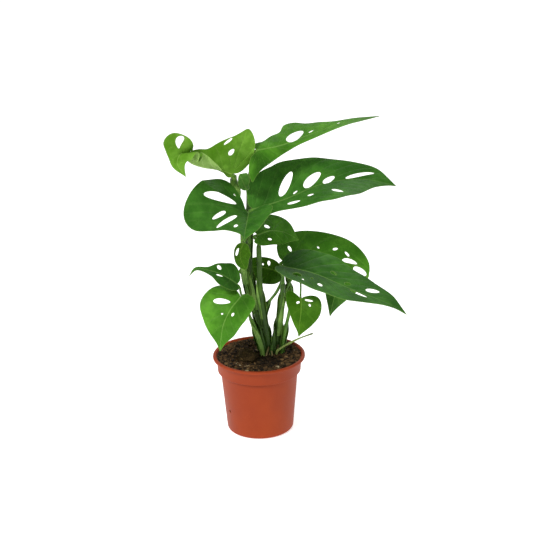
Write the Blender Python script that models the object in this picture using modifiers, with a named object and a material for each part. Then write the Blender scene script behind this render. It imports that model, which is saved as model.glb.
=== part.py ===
"""Swiss cheese plant, Monstera adansonii, growing in its round nursery pot.

Metres, +Z up. The origin is the centre of the pot's foot, and -Y is the side that the plant shows.
Lengths below are in millimetres, and MM turns them into metres.
A leaf is drawn flat, in its own plane: s runs along the midrib from the stalk, u runs out to its left side.
"""

import math

import bmesh
import bpy
import numpy as np
from mathutils import Vector
from mathutils.geometry import delaunay_2d_cdt

MM = 0.001
GAP = 0.3

POT_HEIGHT = 103.0
RIM_RADIUS = 60.0
RIM_DEPTH = 3.6
RIM_ROUND = 1.4
RIM_INNER_RADIUS = 56.0
RIM_INNER_DEPTH = 0.8
FLARE_FOOT_Z = 99.6
COLLAR_TOP_RADIUS = 55.3
COLLAR_FOOT_RADIUS = 54.2
COLLAR_FOOT_Z = 81.5
COLLAR_STEP = 0.5
BODY_TOP_RADIUS = 50.4
FOOT_RADIUS = 43.6
FOOT_ROUND = 4.0
FOOT_INNER_RADIUS = 40.3
POT_WALL = 1.8
POT_FLOOR = 2.4
POT_SIDES = 40
DRAIN_HOLES = 6
DRAIN_RADIUS = 3.5
DRAIN_RING = 27.0
WEEP_RADIUS = 1.9
WEEP_ANGLE = -147.8
WEEP_Z = 32.4
DRILL_LENGTH = 12.0
DRILL_SIDES = 8

SOIL_RADIUS = 53.8
SOIL_EDGE_Z = 100.4
SOIL_EDGE_DEPTH = 0.7
SOIL_CROWN_Z = 102.0
CROWN_CENTRE = (14.0, 10.0)
CROWN_SPREAD = 30.0
SOIL_RIPPLE = 0.8
SOIL_RINGS = 7
STEM_SINK = 24.0
HOLE_RISE = 9.0

BLADE_EDGE = 0.8
RIB_THICKNESS = 1.7
CELL = 13.0
RIB_CELL = 10.4
RIB_CLEAR = 5.2
EDGE_CLEAR = 4.9
EDGE_STEP = 7.0
SPINE_STEPS = 24
HEADING_REACH = 2.0
LIFT_REACH = 30.0
MARGIN_STEPS = 8
STEM_STEPS = 3
SMALL_WINDOW = 9.0
STALK_SIDES = 2
RIB_SPAN = 0.55
STALK_MEETS = (-5.0, 3.5)
STALK_SEAT = 0.75

LEAF_GREEN = (0.085, 0.235, 0.035, 1)
YOUNG_GREEN = (0.17, 0.36, 0.05, 1)
STEM_GREEN = (0.10, 0.22, 0.04, 1)
TERRACOTTA = (0.52, 0.13, 0.05, 1)
PEAT = (0.045, 0.022, 0.012, 1)
STRAW = (0.45, 0.48, 0.16, 1)

# Each leaf: its midrib's path, which way its face looks at even steps from base to tip, how far each half
# folds up in degrees at the same steps, the margin's points on each side, and its windows as two ends
# and a width. A lift bends the part behind the base upwards.
LEAVES = {
    "leaf_top_right": dict(
        spine=[(5, 8, 376), (35, 25, 377), (66, 40, 384), (109, 56, 394), (162, 70, 400)],
        face=[(0.1, -0.1, 1), (0, -0.05, 1), (0, 0, 1)],
        fold_left=(22, 8, 4),
        fold_right=(-60, 8, 10),
        left=[(-4, 5), (-3, 10), (5, 12), (13, 13), (30, 21), (45, 25), (58, 37), (71, 36), (82, 28),
              (96, 22), (114, 12), (142, 8)],
        right=[(-11, -6), (-17, -15), (-20, -28), (-18, -38), (-10, -31), (-1, -25), (13, -19), (31, -13),
               (52, -11), (74, -15.5), (100, -24), (124, -25), (151, -11)],
        windows=[((44, 2.5), (71, 13), 14), ((75, 4.5), (83, 6.5), 2.6), ((114, 3), (119, 4.4), 2.2)],
    ),
    "leaf_large_right": dict(
        spine=[(-3, 6, 299), (37, 16, 308), (89, 30, 324), (142, 42, 324), (181, 46, 313)],
        face=[(-0.1, -0.25, 1), (0, -0.25, 1), (0.2, -0.3, 1)],
        fold_left=(62, 30, 18, 15, 12),
        fold_right=(-12, 4, 0),
        left=[(-4, 6), (-3, 17), (-1, 28), (7, 35), (20, 42), (41, 49), (64, 53), (95, 46), (135, 32),
              (168, 22), (182, 11)],
        right=[(-5, -8), (4, -17), (29, -18), (72, -35), (101, -44), (134, -37), (165, -15), (184, -3)],
        windows=[((38, 6), (68, 34), 11), ((72, 4), (98, 19), 12.5), ((96, 0.5), (113, 8), 8),
                 ((126, 2.5), (164, 13), 6), ((55, 2.5), (62, 4.5), 2.2), ((101, -19), (113, -31), 5.6),
                 ((69, -12.5), (77, -15), 4), ((42, -10.5), (58, -15), 5)],
    ),
    "leaf_top_left": dict(
        spine=[(-29, -8, 350), (-47, -14, 359), (-64, -20, 364), (-78, -28, 372), (-88, -42, 388),
               (-93, -53, 379), (-83, -53, 361)],
        face=[(0.3, -0.7, 1), (0.1, -0.5, 1), (0, -0.4, 1), (-0.1, -1, 0.5), (0, -1, 0.1)],
        fold_left=(0, 65, 88, 30, 0),
        fold_right=(45, 50, 50, 20, 0),
        left=[(-1, 3), (6, 9), (15, 12), (28, 18), (45, 19), (60, 19), (78, 25), (92, 20), (106, 7)],
        right=[(-10, -6), (-18, -24), (-14, -48), (0, -60), (16, -43), (32, -25), (50, -20), (65, -15),
               (74, -17), (79, -22), (82, -27), (86, -25), (90, -17), (96, -9), (107, -4)],
        windows=[((12, -21), (9, -30), 5.2), ((15, -42), (20, -31), 2.2),
                 ((80, -21.5), (81.8, -6.5), 2.4), ((68.5, -12), (67.5, -9.5), 2.4)],
    ),
    "leaf_front_left": dict(
        spine=[(-9, -20, 302), (-11, -48, 299), (-13, -76, 296), (-14, -98, 292)],
        face=[(0, -0.2, 1), (0, -0.1, 1), (0, -0.2, 1)],
        fold_left=(30, 25, 5),
        fold_right=(38, 14, 0),
        lift=9,
        left=[(-2, 6), (-3, 14), (-2, 24), (12, 35), (30, 34), (42, 26), (56, 17), (68, 4)],
        right=[(-6, -5), (-18, -11), (-29, -26), (-27, -44), (-12, -63), (10, -76), (36, -79), (52, -73),
               (61, -60), (59, -40), (55, -22), (60, -6), (70, -2)],
        windows=[((-4, -19), (12, -62), 12), ((20, -29), (40, -42), 6), ((19, -14), (53, -35), 6.2),
                 ((38, -11), (46, -14), 4), ((-18.5, -24.5), (-17.5, -20.5), 2.6)],
    ),
    "leaf_behind": dict(
        spine=[(2, 5, 265), (18, 20, 265), (37, 32, 258), (55, 38, 245)],
        face=[(0, -0.3, 1), (0, -0.3, 1), (0.4, -0.3, 1)],
        fold_left=(25, 20, 10),
        fold_right=(-45, -30, -10),
        left=[(-1, 5), (3, 13), (11, 23), (24, 27), (42, 26), (53, 19), (62, 8)],
        right=[(-5, -3), (-10, -7), (-4, -13), (6, -17), (25, -20), (45, -17), (60, -7)],
        windows=[((18.5, 9.5), (24, 5), 5.6), ((11.5, -10), (18.5, -12), 3.2)],
    ),
    "leaf_lower_right_back": dict(
        spine=[(36, 22, 221), (72, 40, 215), (103, 50, 191), (95, 50, 132)],
        face=[(-0.2, -0.2, 1), (0.1, -0.3, 1), (1, -0.4, 0.6)],
        fold_left=(32, 28, 20),
        fold_right=(-50, -60, -40),
        left=[(-5, 7), (-5, 17), (-2, 27), (10, 38), (38, 46), (64, 50), (84, 56), (92, 47), (104, 31),
              (125, 15)],
        right=[(-5, -5), (-2, -14), (14, -22), (38, -25), (62, -24), (90, -20), (112, -13), (130, -5)],
        windows=[((15, 24), (15, 15), 4.6), ((49, 24.5), (50, 21.5), 2.8), ((66, 27.5), (70, 33.5), 2.6),
                 ((77, 34), (79.5, 37), 4), ((78, 22), (85, 38), 3.6), ((87, 28), (91, 44), 5)],
    ),
    "leaf_lower_right": dict(
        spine=[(34, -6, 226), (71, -22, 222), (116, -42, 208), (163, -58, 193), (186, -62, 179)],
        face=[(0.1, -0.15, 1), (0.2, -0.15, 1), (0.4, -0.15, 1)],
        fold_left=(15, 8, 5),
        fold_right=(4, 0, 0),
        left=[(-6, 8), (-4, 23), (7, 36), (32, 43), (57, 44), (78, 39), (105, 34), (126, 27), (148, 19),
              (162, 8)],
        right=[(-8, -4), (-6, -14), (6, -24), (25, -33), (50, -37), (74, -35), (97, -30), (119, -20),
               (140, -9), (158, -2)],
        windows=[((19, -13), (31, -18), 9), ((35, -23), (38, -26), 2.6), ((43, -14), (46.5, -15), 3.2),
                 ((56, -20), (63, -23), 5.6), ((82, 5), (90, 8), 6.5), ((93, -3.5), (117, -6), 5),
                 ((110, 9), (127, 16), 8.5), ((58, 15.5), (67, 13), 5.2)],
    ),
    "leaf_heart_left": dict(
        spine=[(-21, -30, 195), (-34, -42, 183), (-44, -48, 163), (-49, -50, 129)],
        face=[(-0.25, -0.6, 0.8), (-0.15, -1, 0.4), (0, -1, 0.2)],
        fold_left=(30, 26, 10),
        fold_right=(4, 2, 0),
        left=[(-5, 6), (-4, 16), (-1, 28), (6, 36), (22, 33), (33, 27), (53, 18), (68, 6)],
        right=[(-4, -8), (-6, -22), (2, -34), (18, -39), (32, -38), (45, -26), (56, -16), (68, -6)],
        windows=[((23, -25), (14, -6), 7), ((32, -8), (31, -5.5), 2.2), ((28, 6), (24, 9), 4.2)],
    ),
    "leaf_heart_right": dict(
        spine=[(55, -18, 186), (55, -26, 175), (53, -31, 159), (51, -32, 139)],
        face=[(0.1, -0.7, 0.7), (0.05, -1, 0.35), (0, -1, 0.2)],
        fold_left=(15, 10, 0),
        fold_right=(10, 8, 0),
        left=[(-2, 4), (-3, 14), (0, 22), (8, 26), (18, 25), (33, 16), (45, 5)],
        right=[(-5, -5), (-10, -14), (-7, -19), (0, -20), (12, -18), (31, -9), (44, -2)],
        windows=[((6.5, -6), (4, -1.5), 3), ((2, 5), (5, 15.5), 2.6), ((8, 10), (11, 12), 2.4)],
    ),
    "leaf_mid_left": dict(
        spine=[(-25, -14, 206), (-44, -24, 223), (-62, -32, 233), (-77, -38, 237), (-85, -40, 228)],
        face=[(0, -0.5, 1), (0.1, -0.5, 1), (-0.6, -0.6, 1)],
        fold_left=(0, 0, 0),
        fold_right=(20, 15, 0),
        left=[(-3, 5), (2, 12), (12, 18), (34, 20), (45, 10), (56, 5), (68, 3)],
        right=[(-3, -8), (3, -19), (13, -23), (25, -18), (36, -13), (48, -5), (66, -2)],
        windows=[((35.5, -9), (29, -8), 6), ((37, 4), (26, 2), 3)],
    ),
    "leaf_young": dict(
        spine=[(-16, -8, 259), (-20, -12, 250), (-20, -15, 239), (-13, -17, 226)],
        face=[(-0.2, -0.9, 0.5), (-0.2, -1, 0.3), (-0.4, -1, 0.1)],
        fold_left=(0, 0, 0),
        fold_right=(0, 0, 0),
        left=[(0, 6), (10, 13), (22, 12), (32, 6)],
        right=[(2, -5), (8, -8), (20, -8), (28, -7), (34, -4)],
        windows=[((17, -5.2), (8, -3.4), 3.2)],
    ),
    "leaf_shaded": dict(
        spine=[(31, 36, 201), (12, 44, 205), (-8, 46, 206), (-25, 46, 200)],
        face=[(0, -1.2, 0.7), (0, -1.2, 0.7), (0, -1.2, 0.7)],
        fold_left=(0, 0, 0),
        fold_right=(10, 10, 0),
        left=[(-4, 8), (3, 17), (20, 21), (34, 18), (47, 12), (56, 6)],
        right=[(-2, -4), (4, -9), (13, -13), (23, -14), (35, -13), (47, -9), (56, -3)],
        windows=[((20, -10), (18.5, -4), 3.4), ((27, -5.5), (25.5, -3), 2.2)],
    ),
    "leaf_bract": dict(
        spine=[(-10, 3, 325), (-14, -2, 336), (-17, -5, 344), (-19, -5.5, 349)],
        face=[(-0.3, -1, 0.3), (-0.3, -1, 0.3), (-0.2, -1, 0.1)],
        fold_left=(20, 20, 10),
        fold_right=(35, 35, 20),
        left=[(2, 4), (9, 7), (17, 6), (24, 3)],
        right=[(4, -5), (13, -9), (22, -13), (28, -9)],
        windows=[],
    ),
}

# Each stem: its own path from the soil up, its radius at the foot and the top, and the stalks that branch
# from it. A stalk ends under the leaf that it names, at that leaf's base: meets says how far along the
# midrib, seat how far below it, and notch that it stops between the two lobes.
STEMS = {
    "stem_main": dict(
        path=[(12, 19, 103), (11, 19, 112), (6.5, 18, 126), (-1, 19, 149), (-7, 20, 184), (-10, 20, 223),
              (-9, 21, 253), (-9, 23, 285), (-8, 26, 310), (-7, 26, 334)],
        radii=(5.2, 3.4),
        stalks=[
            dict(leaf="leaf_top_right", radii=(3.2, 1.9), meets=(-3, 5), seat=1.1,
                 path=[(-7, 26, 316), (-7, 26, 335), (-2, 19, 358)]),
            dict(leaf="leaf_large_right", radii=(3.0, 2.1),
                 path=[(-9, 21, 260), (-7, 15, 281)]),
            dict(leaf="leaf_front_left", radii=(3.0, 2.0),
                 path=[(-9, 19, 250), (-9, 5, 274), (-9, -10, 290)]),
            dict(leaf="leaf_top_left", radii=(2.8, 1.9),
                 path=[(-2, 18, 148), (-12, 14, 180), (-17, 12, 215), (-18, 14, 255), (-18, 18, 288),
                       (-21, 18, 313), (-27, 9, 335)]),
            dict(leaf="leaf_young", radii=(2.2, 1.2),
                 path=[(-8, 20, 196), (-15, 10, 218), (-17, 2, 240)]),
            dict(leaf="leaf_bract", radii=(1.8, 1.3), meets=(8.0,), seat=-0.7,
                 path=[(-24, 14, 323), (-19, 8, 329)]),
        ],
    ),
    "stem_middle": dict(
        path=[(13.5, 5, 103), (12.8, 5.4, 112), (8, 7, 147), (4, 8, 182), (3, 9, 223), (3, 8, 247)],
        radii=(4.4, 3.2),
        stalks=[
            dict(leaf="leaf_behind", radii=(2.6, 1.8),
                 path=[(3, 8, 240), (3, 7, 254)]),
            dict(leaf="leaf_shaded", radii=(2.2, 1.5), meets=(-2.2,), notch=True,
                 path=[(8, 8, 147), (13, 15, 166), (24, 20, 180), (30, 24, 190), (33, 31, 198)]),
        ],
    ),
    "stem_right": dict(
        path=[(24, 12, 103), (24, 12, 112), (27, 12, 142), (31, 10, 173), (33, 5, 196)],
        radii=(4.8, 3.0),
        stalks=[
            dict(leaf="leaf_lower_right", radii=(2.8, 2.0),
                 path=[(32, 7, 190), (33, 2, 208)]),
            dict(leaf="leaf_heart_right", radii=(1.9, 1.2), seat=0.25,
                 path=[(31, 10, 170), (38, 13, 189), (45, 9, 203), (51, 1, 209), (55, -8, 204)]),
        ],
    ),
    "stalk_heart_left": dict(
        path=[(5, -4, 103), (3.7, -3.5, 113), (-2, 0, 134), (-10, -9, 158), (-16, -22, 180)],
        radii=(3.0, 1.7),
        leaf="leaf_heart_left",
        stalks=[],
    ),
    "stalk_mid_left": dict(
        path=[(2, 12, 103), (-0.5, 12, 112), (-8, 9, 140), (-14, 0, 168), (-21, -8, 190)],
        radii=(2.4, 1.6),
        leaf="leaf_mid_left",
        stalks=[],
    ),
    "stalk_lower_right_back": dict(
        path=[(30, 3, 103), (31.5, 4.5, 113), (36, 9, 136), (41, 13, 158), (43, 18, 178), (40, 20, 200)],
        radii=(2.8, 2.0),
        leaf="leaf_lower_right_back",
        stalks=[],
    ),
}

DRY_STUB_PATH = [(23, -3, 103), (23.5, -3.2, 107), (29, -4, 112), (40, -5, 119), (52, -7, 126),
                 (70, -10, 134)]
DRY_STUB_RADII = (2.4, 1.2)
CLOD_CENTRE = (-15.5, -15, 104)
CLOD_SIZE = (12.5, 12, 11)
CLOD_SEAT = 0.55
CLOD_LUMPS = 0.12
CLOD_RIPPLE = 0.08


def smooth(points, steps):
    """A smooth run of points through the given ones: a centripetal Catmull-Rom curve."""
    p = np.asarray(points, float)
    p = np.vstack([2 * p[0] - p[1], p, 2 * p[-1] - p[-2]])
    runs = []
    for a, b, c, d in zip(p, p[1:], p[2:], p[3:]):
        t1 = np.linalg.norm(b - a) ** 0.5
        t2 = t1 + np.linalg.norm(c - b) ** 0.5
        t3 = t2 + np.linalg.norm(d - c) ** 0.5
        t = np.linspace(t1, t2, steps, endpoint=False)[:, None]
        ab = (t1 - t) / t1 * a + t / t1 * b
        bc = (t2 - t) / (t2 - t1) * b + (t - t1) / (t2 - t1) * c
        cd = (t3 - t) / (t3 - t2) * c + (t - t2) / (t3 - t2) * d
        abc = (t2 - t) / t2 * ab + t / t2 * bc
        bcd = (t3 - t) / (t3 - t1) * bc + (t - t1) / (t3 - t1) * cd
        runs.append((t2 - t) / (t2 - t1) * abc + (t - t1) / (t2 - t1) * bcd)
    return np.vstack(runs + [p[-2][None]])


def even(points, step):
    """The same run of points, placed evenly about a step apart."""
    length = np.concatenate([[0], np.cumsum(np.linalg.norm(np.diff(points, axis=0), axis=1))])
    count = max(2, round(length[-1] / step))
    at = np.linspace(0, length[-1], count + 1)
    return np.stack([np.interp(at, length, points[:, k]) for k in range(points.shape[1])], axis=1)


def between(values, t):
    """Values given at even steps from base to tip, read smoothly at t from 0 to 1."""
    v = np.asarray(values, float)
    flat = v.ndim == 1
    if flat:
        v = v[:, None]
    v = np.vstack([2 * v[0] - v[1], v, 2 * v[-1] - v[-2]])
    spans = len(v) - 3
    x = np.clip(t, 0, 1) * spans
    k = np.minimum(x.astype(int), spans - 1)
    f = (x - k)[:, None]
    a, b, c, d = v[k], v[k + 1], v[k + 2], v[k + 3]
    run = b + 0.5 * f * (c - a + f * (2 * a - 5 * b + 4 * c - d + f * (3 * (b - c) + d - a)))
    return run[:, 0] if flat else run


def unit(v):
    return v / np.linalg.norm(v, axis=-1, keepdims=True)


class Blade:
    """The curved surface that a leaf lies on."""

    def __init__(self, leaf):
        self.leaf = leaf
        self.curve = smooth(leaf["spine"], SPINE_STEPS)
        steps = np.linalg.norm(np.diff(self.curve, axis=0), axis=1)
        self.along = np.concatenate([[0], np.cumsum(steps)])
        self.length = self.along[-1]

    def read(self, s):
        return np.stack([np.interp(s, self.along, self.curve[:, k]) for k in range(3)], axis=1)

    def frame(self, s):
        """The midrib's points at s, its directions, the way the face looks, and the way to the left.
        Before the base the midrib runs straight on."""
        near = np.clip(s, HEADING_REACH, self.length - HEADING_REACH)
        heading = unit(self.read(near + HEADING_REACH) - self.read(near - HEADING_REACH))
        point = self.read(s) + heading * np.minimum(s, 0)[:, None]
        face = between(self.leaf["face"], s / self.length)
        face = unit(face - (face * heading).sum(axis=1, keepdims=True) * heading)
        return point, heading, face, np.cross(face, heading)

    def place(self, flat):
        """Puts flat points (s, u) on the folded leaf."""
        s, u = flat[:, 0], flat[:, 1]
        point, _, face, leftward = self.frame(s)
        t = s / self.length
        fold = np.where(u >= 0, between(self.leaf["fold_left"], t), between(self.leaf["fold_right"], t))
        fold = np.radians(fold)
        rise = np.abs(u) * np.sin(fold) + self.leaf.get("lift", 0) * (np.minimum(s, 0) / LIFT_REACH) ** 2
        return point + leftward * (u * np.cos(fold))[:, None] + face * rise[:, None]

    def margin(self):
        tip = (self.length, 0)
        left = even(smooth([(0, 0)] + self.leaf["left"] + [tip], MARGIN_STEPS), EDGE_STEP)
        right = even(smooth([(0, 0)] + self.leaf["right"] + [tip], MARGIN_STEPS), EDGE_STEP)
        return np.vstack([left, right[-2:0:-1]])

    def windows(self):
        return [window_loop(*window) for window in self.leaf["windows"]]


def window_loop(start, end, width):
    """A long oval between two ends, of six points where it is small and nine where it is not."""
    start, end = np.array(start, float), np.array(end, float)
    count = 6 if np.linalg.norm(end - start) < SMALL_WINDOW else 9
    turn = np.linspace(0, 2 * math.pi, count, endpoint=False)
    half = (end - start) / 2
    across = np.array([-half[1], half[0]]) / np.linalg.norm(half) * width / 2
    return (start + end) / 2 + np.outer(np.cos(turn), half) + np.outer(np.sin(turn), across)


def is_inside(points, loop):
    """Which points lie inside a closed loop."""
    x, y = points[:, 0][:, None], points[:, 1][:, None]
    ax, ay = loop[:, 0], loop[:, 1]
    bx, by = np.roll(ax, -1), np.roll(ay, -1)
    level = (ay > y) != (by > y)
    crossing = ax + (y - ay) * (bx - ax) / np.where(by == ay, 1e-9, by - ay)
    return (level & (x < crossing)).sum(axis=1) % 2 == 1


def inner_points(loops, length):
    """Points that stiffen the sheet: along the midrib, and staggered over both halves."""
    low, high = loops[0].min(axis=0), loops[0].max(axis=0)
    found = []
    for row, s in enumerate(np.arange(low[0], high[0], CELL)):
        for u in np.arange(low[1] + (row % 2) * CELL / 2, high[1], CELL):
            if abs(u) > RIB_CLEAR:
                found.append((s, u))
    found += [(s, 0.0) for s in np.arange(CELL, length - RIB_CLEAR, RIB_CELL)]
    found = np.array(found)
    edges = np.vstack(loops)
    clear = np.linalg.norm(found[:, None] - edges[None], axis=2).min(axis=1) > EDGE_CLEAR
    keep = is_inside(found, loops[0]) & clear
    for loop in loops[1:]:
        keep &= ~is_inside(found, loop)
    return found[keep]


def flat_sheet(loops, inner):
    """Triangles of the leaf's outline with its windows left open."""
    points, edges = [], []
    for loop in loops:
        first = len(points)
        points += [tuple(p) for p in loop]
        edges += [(first + k, first + (k + 1) % len(loop)) for k in range(len(loop))]
    points += [tuple(p) for p in inner]
    found, _, faces, _, _, _ = delaunay_2d_cdt([Vector(p) for p in points], edges, [], 0, 1e-6)
    flat = np.array([tuple(p) for p in found])
    middles = np.array([flat[list(face)].mean(axis=0) for face in faces])
    keep = is_inside(middles, loops[0])
    for loop in loops[1:]:
        keep &= ~is_inside(middles, loop)
    return flat, [face for face, inside in zip(faces, keep) if inside]


def add_to(collection, name, mesh, material):
    obj = bpy.data.objects.new(name, mesh)
    collection.objects.link(obj)
    obj.data.materials.append(material)
    return obj


def build_leaf(name, leaf, collection, material):
    blade = Blade(leaf)
    loops = [blade.margin()] + blade.windows()
    flat, faces = flat_sheet(loops, inner_points(loops, blade.length))
    solid = blade.place(flat) * MM
    bm = bmesh.new()
    verts = [bm.verts.new(co) for co in solid]
    for face in faces:
        corners = [verts[k] for k in face]
        a, b, c = (flat[k] for k in face[:3])
        if np.cross(b - a, c - a) < 0:
            corners.reverse()
        bm.faces.new(corners)
    loose = [v for v in bm.verts if not v.link_faces]
    bmesh.ops.delete(bm, geom=loose, context="VERTS")
    mesh = bpy.data.meshes.new(name)
    bm.to_mesh(mesh)
    bm.free()
    obj = add_to(collection, name, mesh, material)
    used = sorted({k for face in faces for k in face})
    group = obj.vertex_groups.new(name="rib")
    for index, k in enumerate(used):
        s, u = flat[k]
        weight = (1 - s / blade.length) if abs(u) < RIB_SPAN and s > CELL / 2 else 0
        group.add([index], max(0.0, weight), "REPLACE")
    thick = obj.modifiers.new("Thickness", "SOLIDIFY")
    thick.thickness = RIB_THICKNESS * MM
    thick.offset = -1
    thick.vertex_group = group.name
    thick.thickness_vertex_group = BLADE_EDGE / RIB_THICKNESS
    return obj


def stalk_end(stalk):
    """The last points of a stalk. It runs on below its leaf's midrib, in the middle of the space that the
    folded halves leave, or it stops in the notch between the leaf's two lobes."""
    leaf, radius = LEAVES[stalk["leaf"]], stalk["radii"][1]
    point, heading, face, leftward = Blade(leaf).frame(np.array(stalk.get("meets", STALK_MEETS)))
    if stalk.get("notch"):
        return [tuple(point[0])]
    turn = math.radians(leaf["fold_left"][0] - leaf["fold_right"][0]) / 2
    away = leftward * math.sin(turn) - face * math.cos(turn)
    drop = away * (radius + BLADE_EDGE + stalk.get("seat", STALK_SEAT))
    return [tuple(spot) for spot in point + drop]


def tube(name, path, radii, collection, material, steps=STEM_STEPS):
    """A round stem that tapers from its foot to its top, as a closed mesh."""
    points = smooth(path, steps)
    curve = bpy.data.curves.new(name, "CURVE")
    curve.dimensions = "3D"
    curve.bevel_depth = MM
    curve.bevel_resolution = STALK_SIDES
    curve.use_fill_caps = True
    spline = curve.splines.new("POLY")
    spline.points.add(len(points) - 1)
    for k, (spot, point) in enumerate(zip(spline.points, points)):
        spot.co = (*(point * MM), 1)
        spot.radius = radii[0] + (radii[1] - radii[0]) * k / (len(points) - 1)
    holder = bpy.data.objects.new(name + "_path", curve)
    collection.objects.link(holder)
    graph = bpy.context.evaluated_depsgraph_get()
    mesh = bpy.data.meshes.new_from_object(holder.evaluated_get(graph))
    bpy.data.objects.remove(holder)
    bm = bmesh.new()
    bm.from_mesh(mesh)
    bmesh.ops.remove_doubles(bm, verts=bm.verts, dist=1e-6)
    bmesh.ops.recalc_face_normals(bm, faces=bm.faces)
    bm.to_mesh(mesh)
    bm.free()
    mesh.materials.clear()
    return add_to(collection, name, mesh, material)


def fuse(trunk, branches):
    """Joins the stalks to their stem by one union, and removes them."""
    if branches:
        others = bpy.data.collections.new(trunk.name + "_stalks")
        bpy.context.scene.collection.children.link(others)
        for branch in branches:
            for home in branch.users_collection:
                home.objects.unlink(branch)
            others.objects.link(branch)
        union = trunk.modifiers.new("Stalks", "BOOLEAN")
        union.operand_type = "COLLECTION"
        union.collection = others
        union.operation = "UNION"
        union.solver = "EXACT"
        graph = bpy.context.evaluated_depsgraph_get()
        mesh = bpy.data.meshes.new_from_object(trunk.evaluated_get(graph))
        trunk.modifiers.clear()
        trunk.data = mesh
        for branch in branches:
            bpy.data.objects.remove(branch)
        bpy.data.collections.remove(others)
    return trunk


def rooted(path):
    """The path with its foot carried straight down into the soil."""
    foot, above = Vector(path[0]), Vector(path[1])
    down = (foot - above).normalized()
    return [tuple(foot + down * STEM_SINK)] + list(path)


def hole_path(path):
    """The straight stretch of a stem that passes through the soil, and a little more at both ends."""
    foot, above = Vector(path[0]), Vector(path[1])
    down = (foot - above).normalized()
    return [tuple(foot + down * (STEM_SINK + GAP)), tuple(foot), tuple(foot - down * HOLE_RISE)]


def build_stems(collection, cutters, material):
    for name, stem in STEMS.items():
        path = rooted(stem["path"])
        if "leaf" in stem:
            path = path + stalk_end(stem)
        trunk = tube(name, path, stem["radii"], collection, material)
        branches = []
        for k, stalk in enumerate(stem["stalks"]):
            way = stalk["path"] + stalk_end(stalk)
            branches.append(tube(f"{name}_stalk_{k}", way, stalk["radii"], collection, material))
        fuse(trunk, branches)
        cut_soil(name, stem["path"], stem["radii"][0] + GAP, cutters)
    dry = make_material("dry_stalk", STRAW, 0.7)
    tube("dry_leaf_stub", rooted(DRY_STUB_PATH), DRY_STUB_RADII, collection, dry)
    cut_soil("dry_leaf_stub", DRY_STUB_PATH, DRY_STUB_RADII[0] + GAP, cutters)


def cut_soil(name, path, radius, cutters):
    cutter = tube(name + "_hole", hole_path(path), (radius, radius), cutters, None, steps=1)
    hide(cutter)


def hide(obj):
    obj.hide_render = True
    obj.display_type = "WIRE"


def turned(name, profile, collection, material, sides):
    """A round piece turned from an open profile of (radius, height) points."""
    mesh = bpy.data.meshes.new(name)
    bm = bmesh.new()
    verts = [bm.verts.new((r * MM, 0, z * MM)) for r, z in profile]
    for a, b in zip(verts, verts[1:]):
        bm.edges.new((a, b))
    bm.to_mesh(mesh)
    bm.free()
    obj = add_to(collection, name, mesh, material)
    screw = obj.modifiers.new("Turn", "SCREW")
    screw.steps = screw.render_steps = sides
    screw.use_merge_vertices = True
    screw.merge_threshold = 1e-5
    screw.use_smooth_shade = True
    return obj


def arc(centre, radius, start, end, count):
    """Points of an arc, from one angle to another in degrees."""
    turn = np.radians(np.linspace(start, end, count))
    return [(centre[0] + radius * math.cos(a), centre[1] + radius * math.sin(a)) for a in turn]


def pot_profile():
    """The pot's section, from the axis at the inner floor, up the inside, over the rim and down outside."""
    lip = RIM_RADIUS - RIM_ROUND
    outside = [(0, 0), (FOOT_RADIUS - FOOT_ROUND, 0)]
    outside += arc((FOOT_RADIUS - FOOT_ROUND, FOOT_ROUND), FOOT_ROUND, -60, 0, 3)
    outside += [(BODY_TOP_RADIUS, COLLAR_FOOT_Z), (COLLAR_FOOT_RADIUS, COLLAR_FOOT_Z + COLLAR_STEP)]
    outside += [(COLLAR_TOP_RADIUS, POT_HEIGHT - RIM_DEPTH), (lip, POT_HEIGHT - RIM_DEPTH)]
    outside += arc((lip, POT_HEIGHT - RIM_ROUND), RIM_ROUND, -20, 90, 4)
    inside = [(RIM_INNER_RADIUS + RIM_INNER_DEPTH, POT_HEIGHT)]
    inside += [(RIM_INNER_RADIUS, POT_HEIGHT - RIM_INNER_DEPTH)]
    inside += [(COLLAR_TOP_RADIUS - POT_WALL, FLARE_FOOT_Z)]
    inside += [(COLLAR_FOOT_RADIUS - POT_WALL, COLLAR_FOOT_Z + COLLAR_STEP + POT_WALL)]
    inside += [(BODY_TOP_RADIUS - POT_WALL, COLLAR_FOOT_Z + POT_WALL)]
    inside += [(FOOT_INNER_RADIUS, POT_FLOOR), (0, POT_FLOOR)]
    return (outside + inside)[::-1]


def build_pot(collection, cutters, material):
    pot = turned("pot", pot_profile(), collection, material, POT_SIDES)
    for k in range(DRAIN_HOLES):
        turn = 2 * math.pi * k / DRAIN_HOLES
        spot = (DRAIN_RING * MM * math.cos(turn), DRAIN_RING * MM * math.sin(turn), POT_FLOOR * MM / 2)
        cut(pot, drill(f"drain_{k}", DRAIN_RADIUS, spot, (0, 0, 0), cutters))
    turn = math.radians(WEEP_ANGLE)
    wall = FOOT_RADIUS + (BODY_TOP_RADIUS - FOOT_RADIUS) * WEEP_Z / COLLAR_FOOT_Z
    spot = (wall * MM * math.cos(turn), wall * MM * math.sin(turn), WEEP_Z * MM)
    cut(pot, drill("weep", WEEP_RADIUS, spot, (0, math.pi / 2, turn), cutters))
    return pot


def drill(name, radius, spot, turn, cutters):
    """A round bar that takes a hole out of the pot."""
    mesh = bpy.data.meshes.new(name)
    bm = bmesh.new()
    size = radius * MM
    bmesh.ops.create_cone(bm, cap_ends=True, segments=DRILL_SIDES, radius1=size, radius2=size,
                          depth=DRILL_LENGTH * MM)
    bm.to_mesh(mesh)
    bm.free()
    obj = bpy.data.objects.new(name, mesh)
    obj.location = spot
    obj.rotation_euler = turn
    cutters.objects.link(obj)
    hide(obj)
    return obj


def cut(obj, cutter):
    modifier = obj.modifiers.new(cutter.name, "BOOLEAN")
    modifier.operation = "DIFFERENCE"
    modifier.object = cutter
    modifier.solver = "EXACT"


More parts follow.
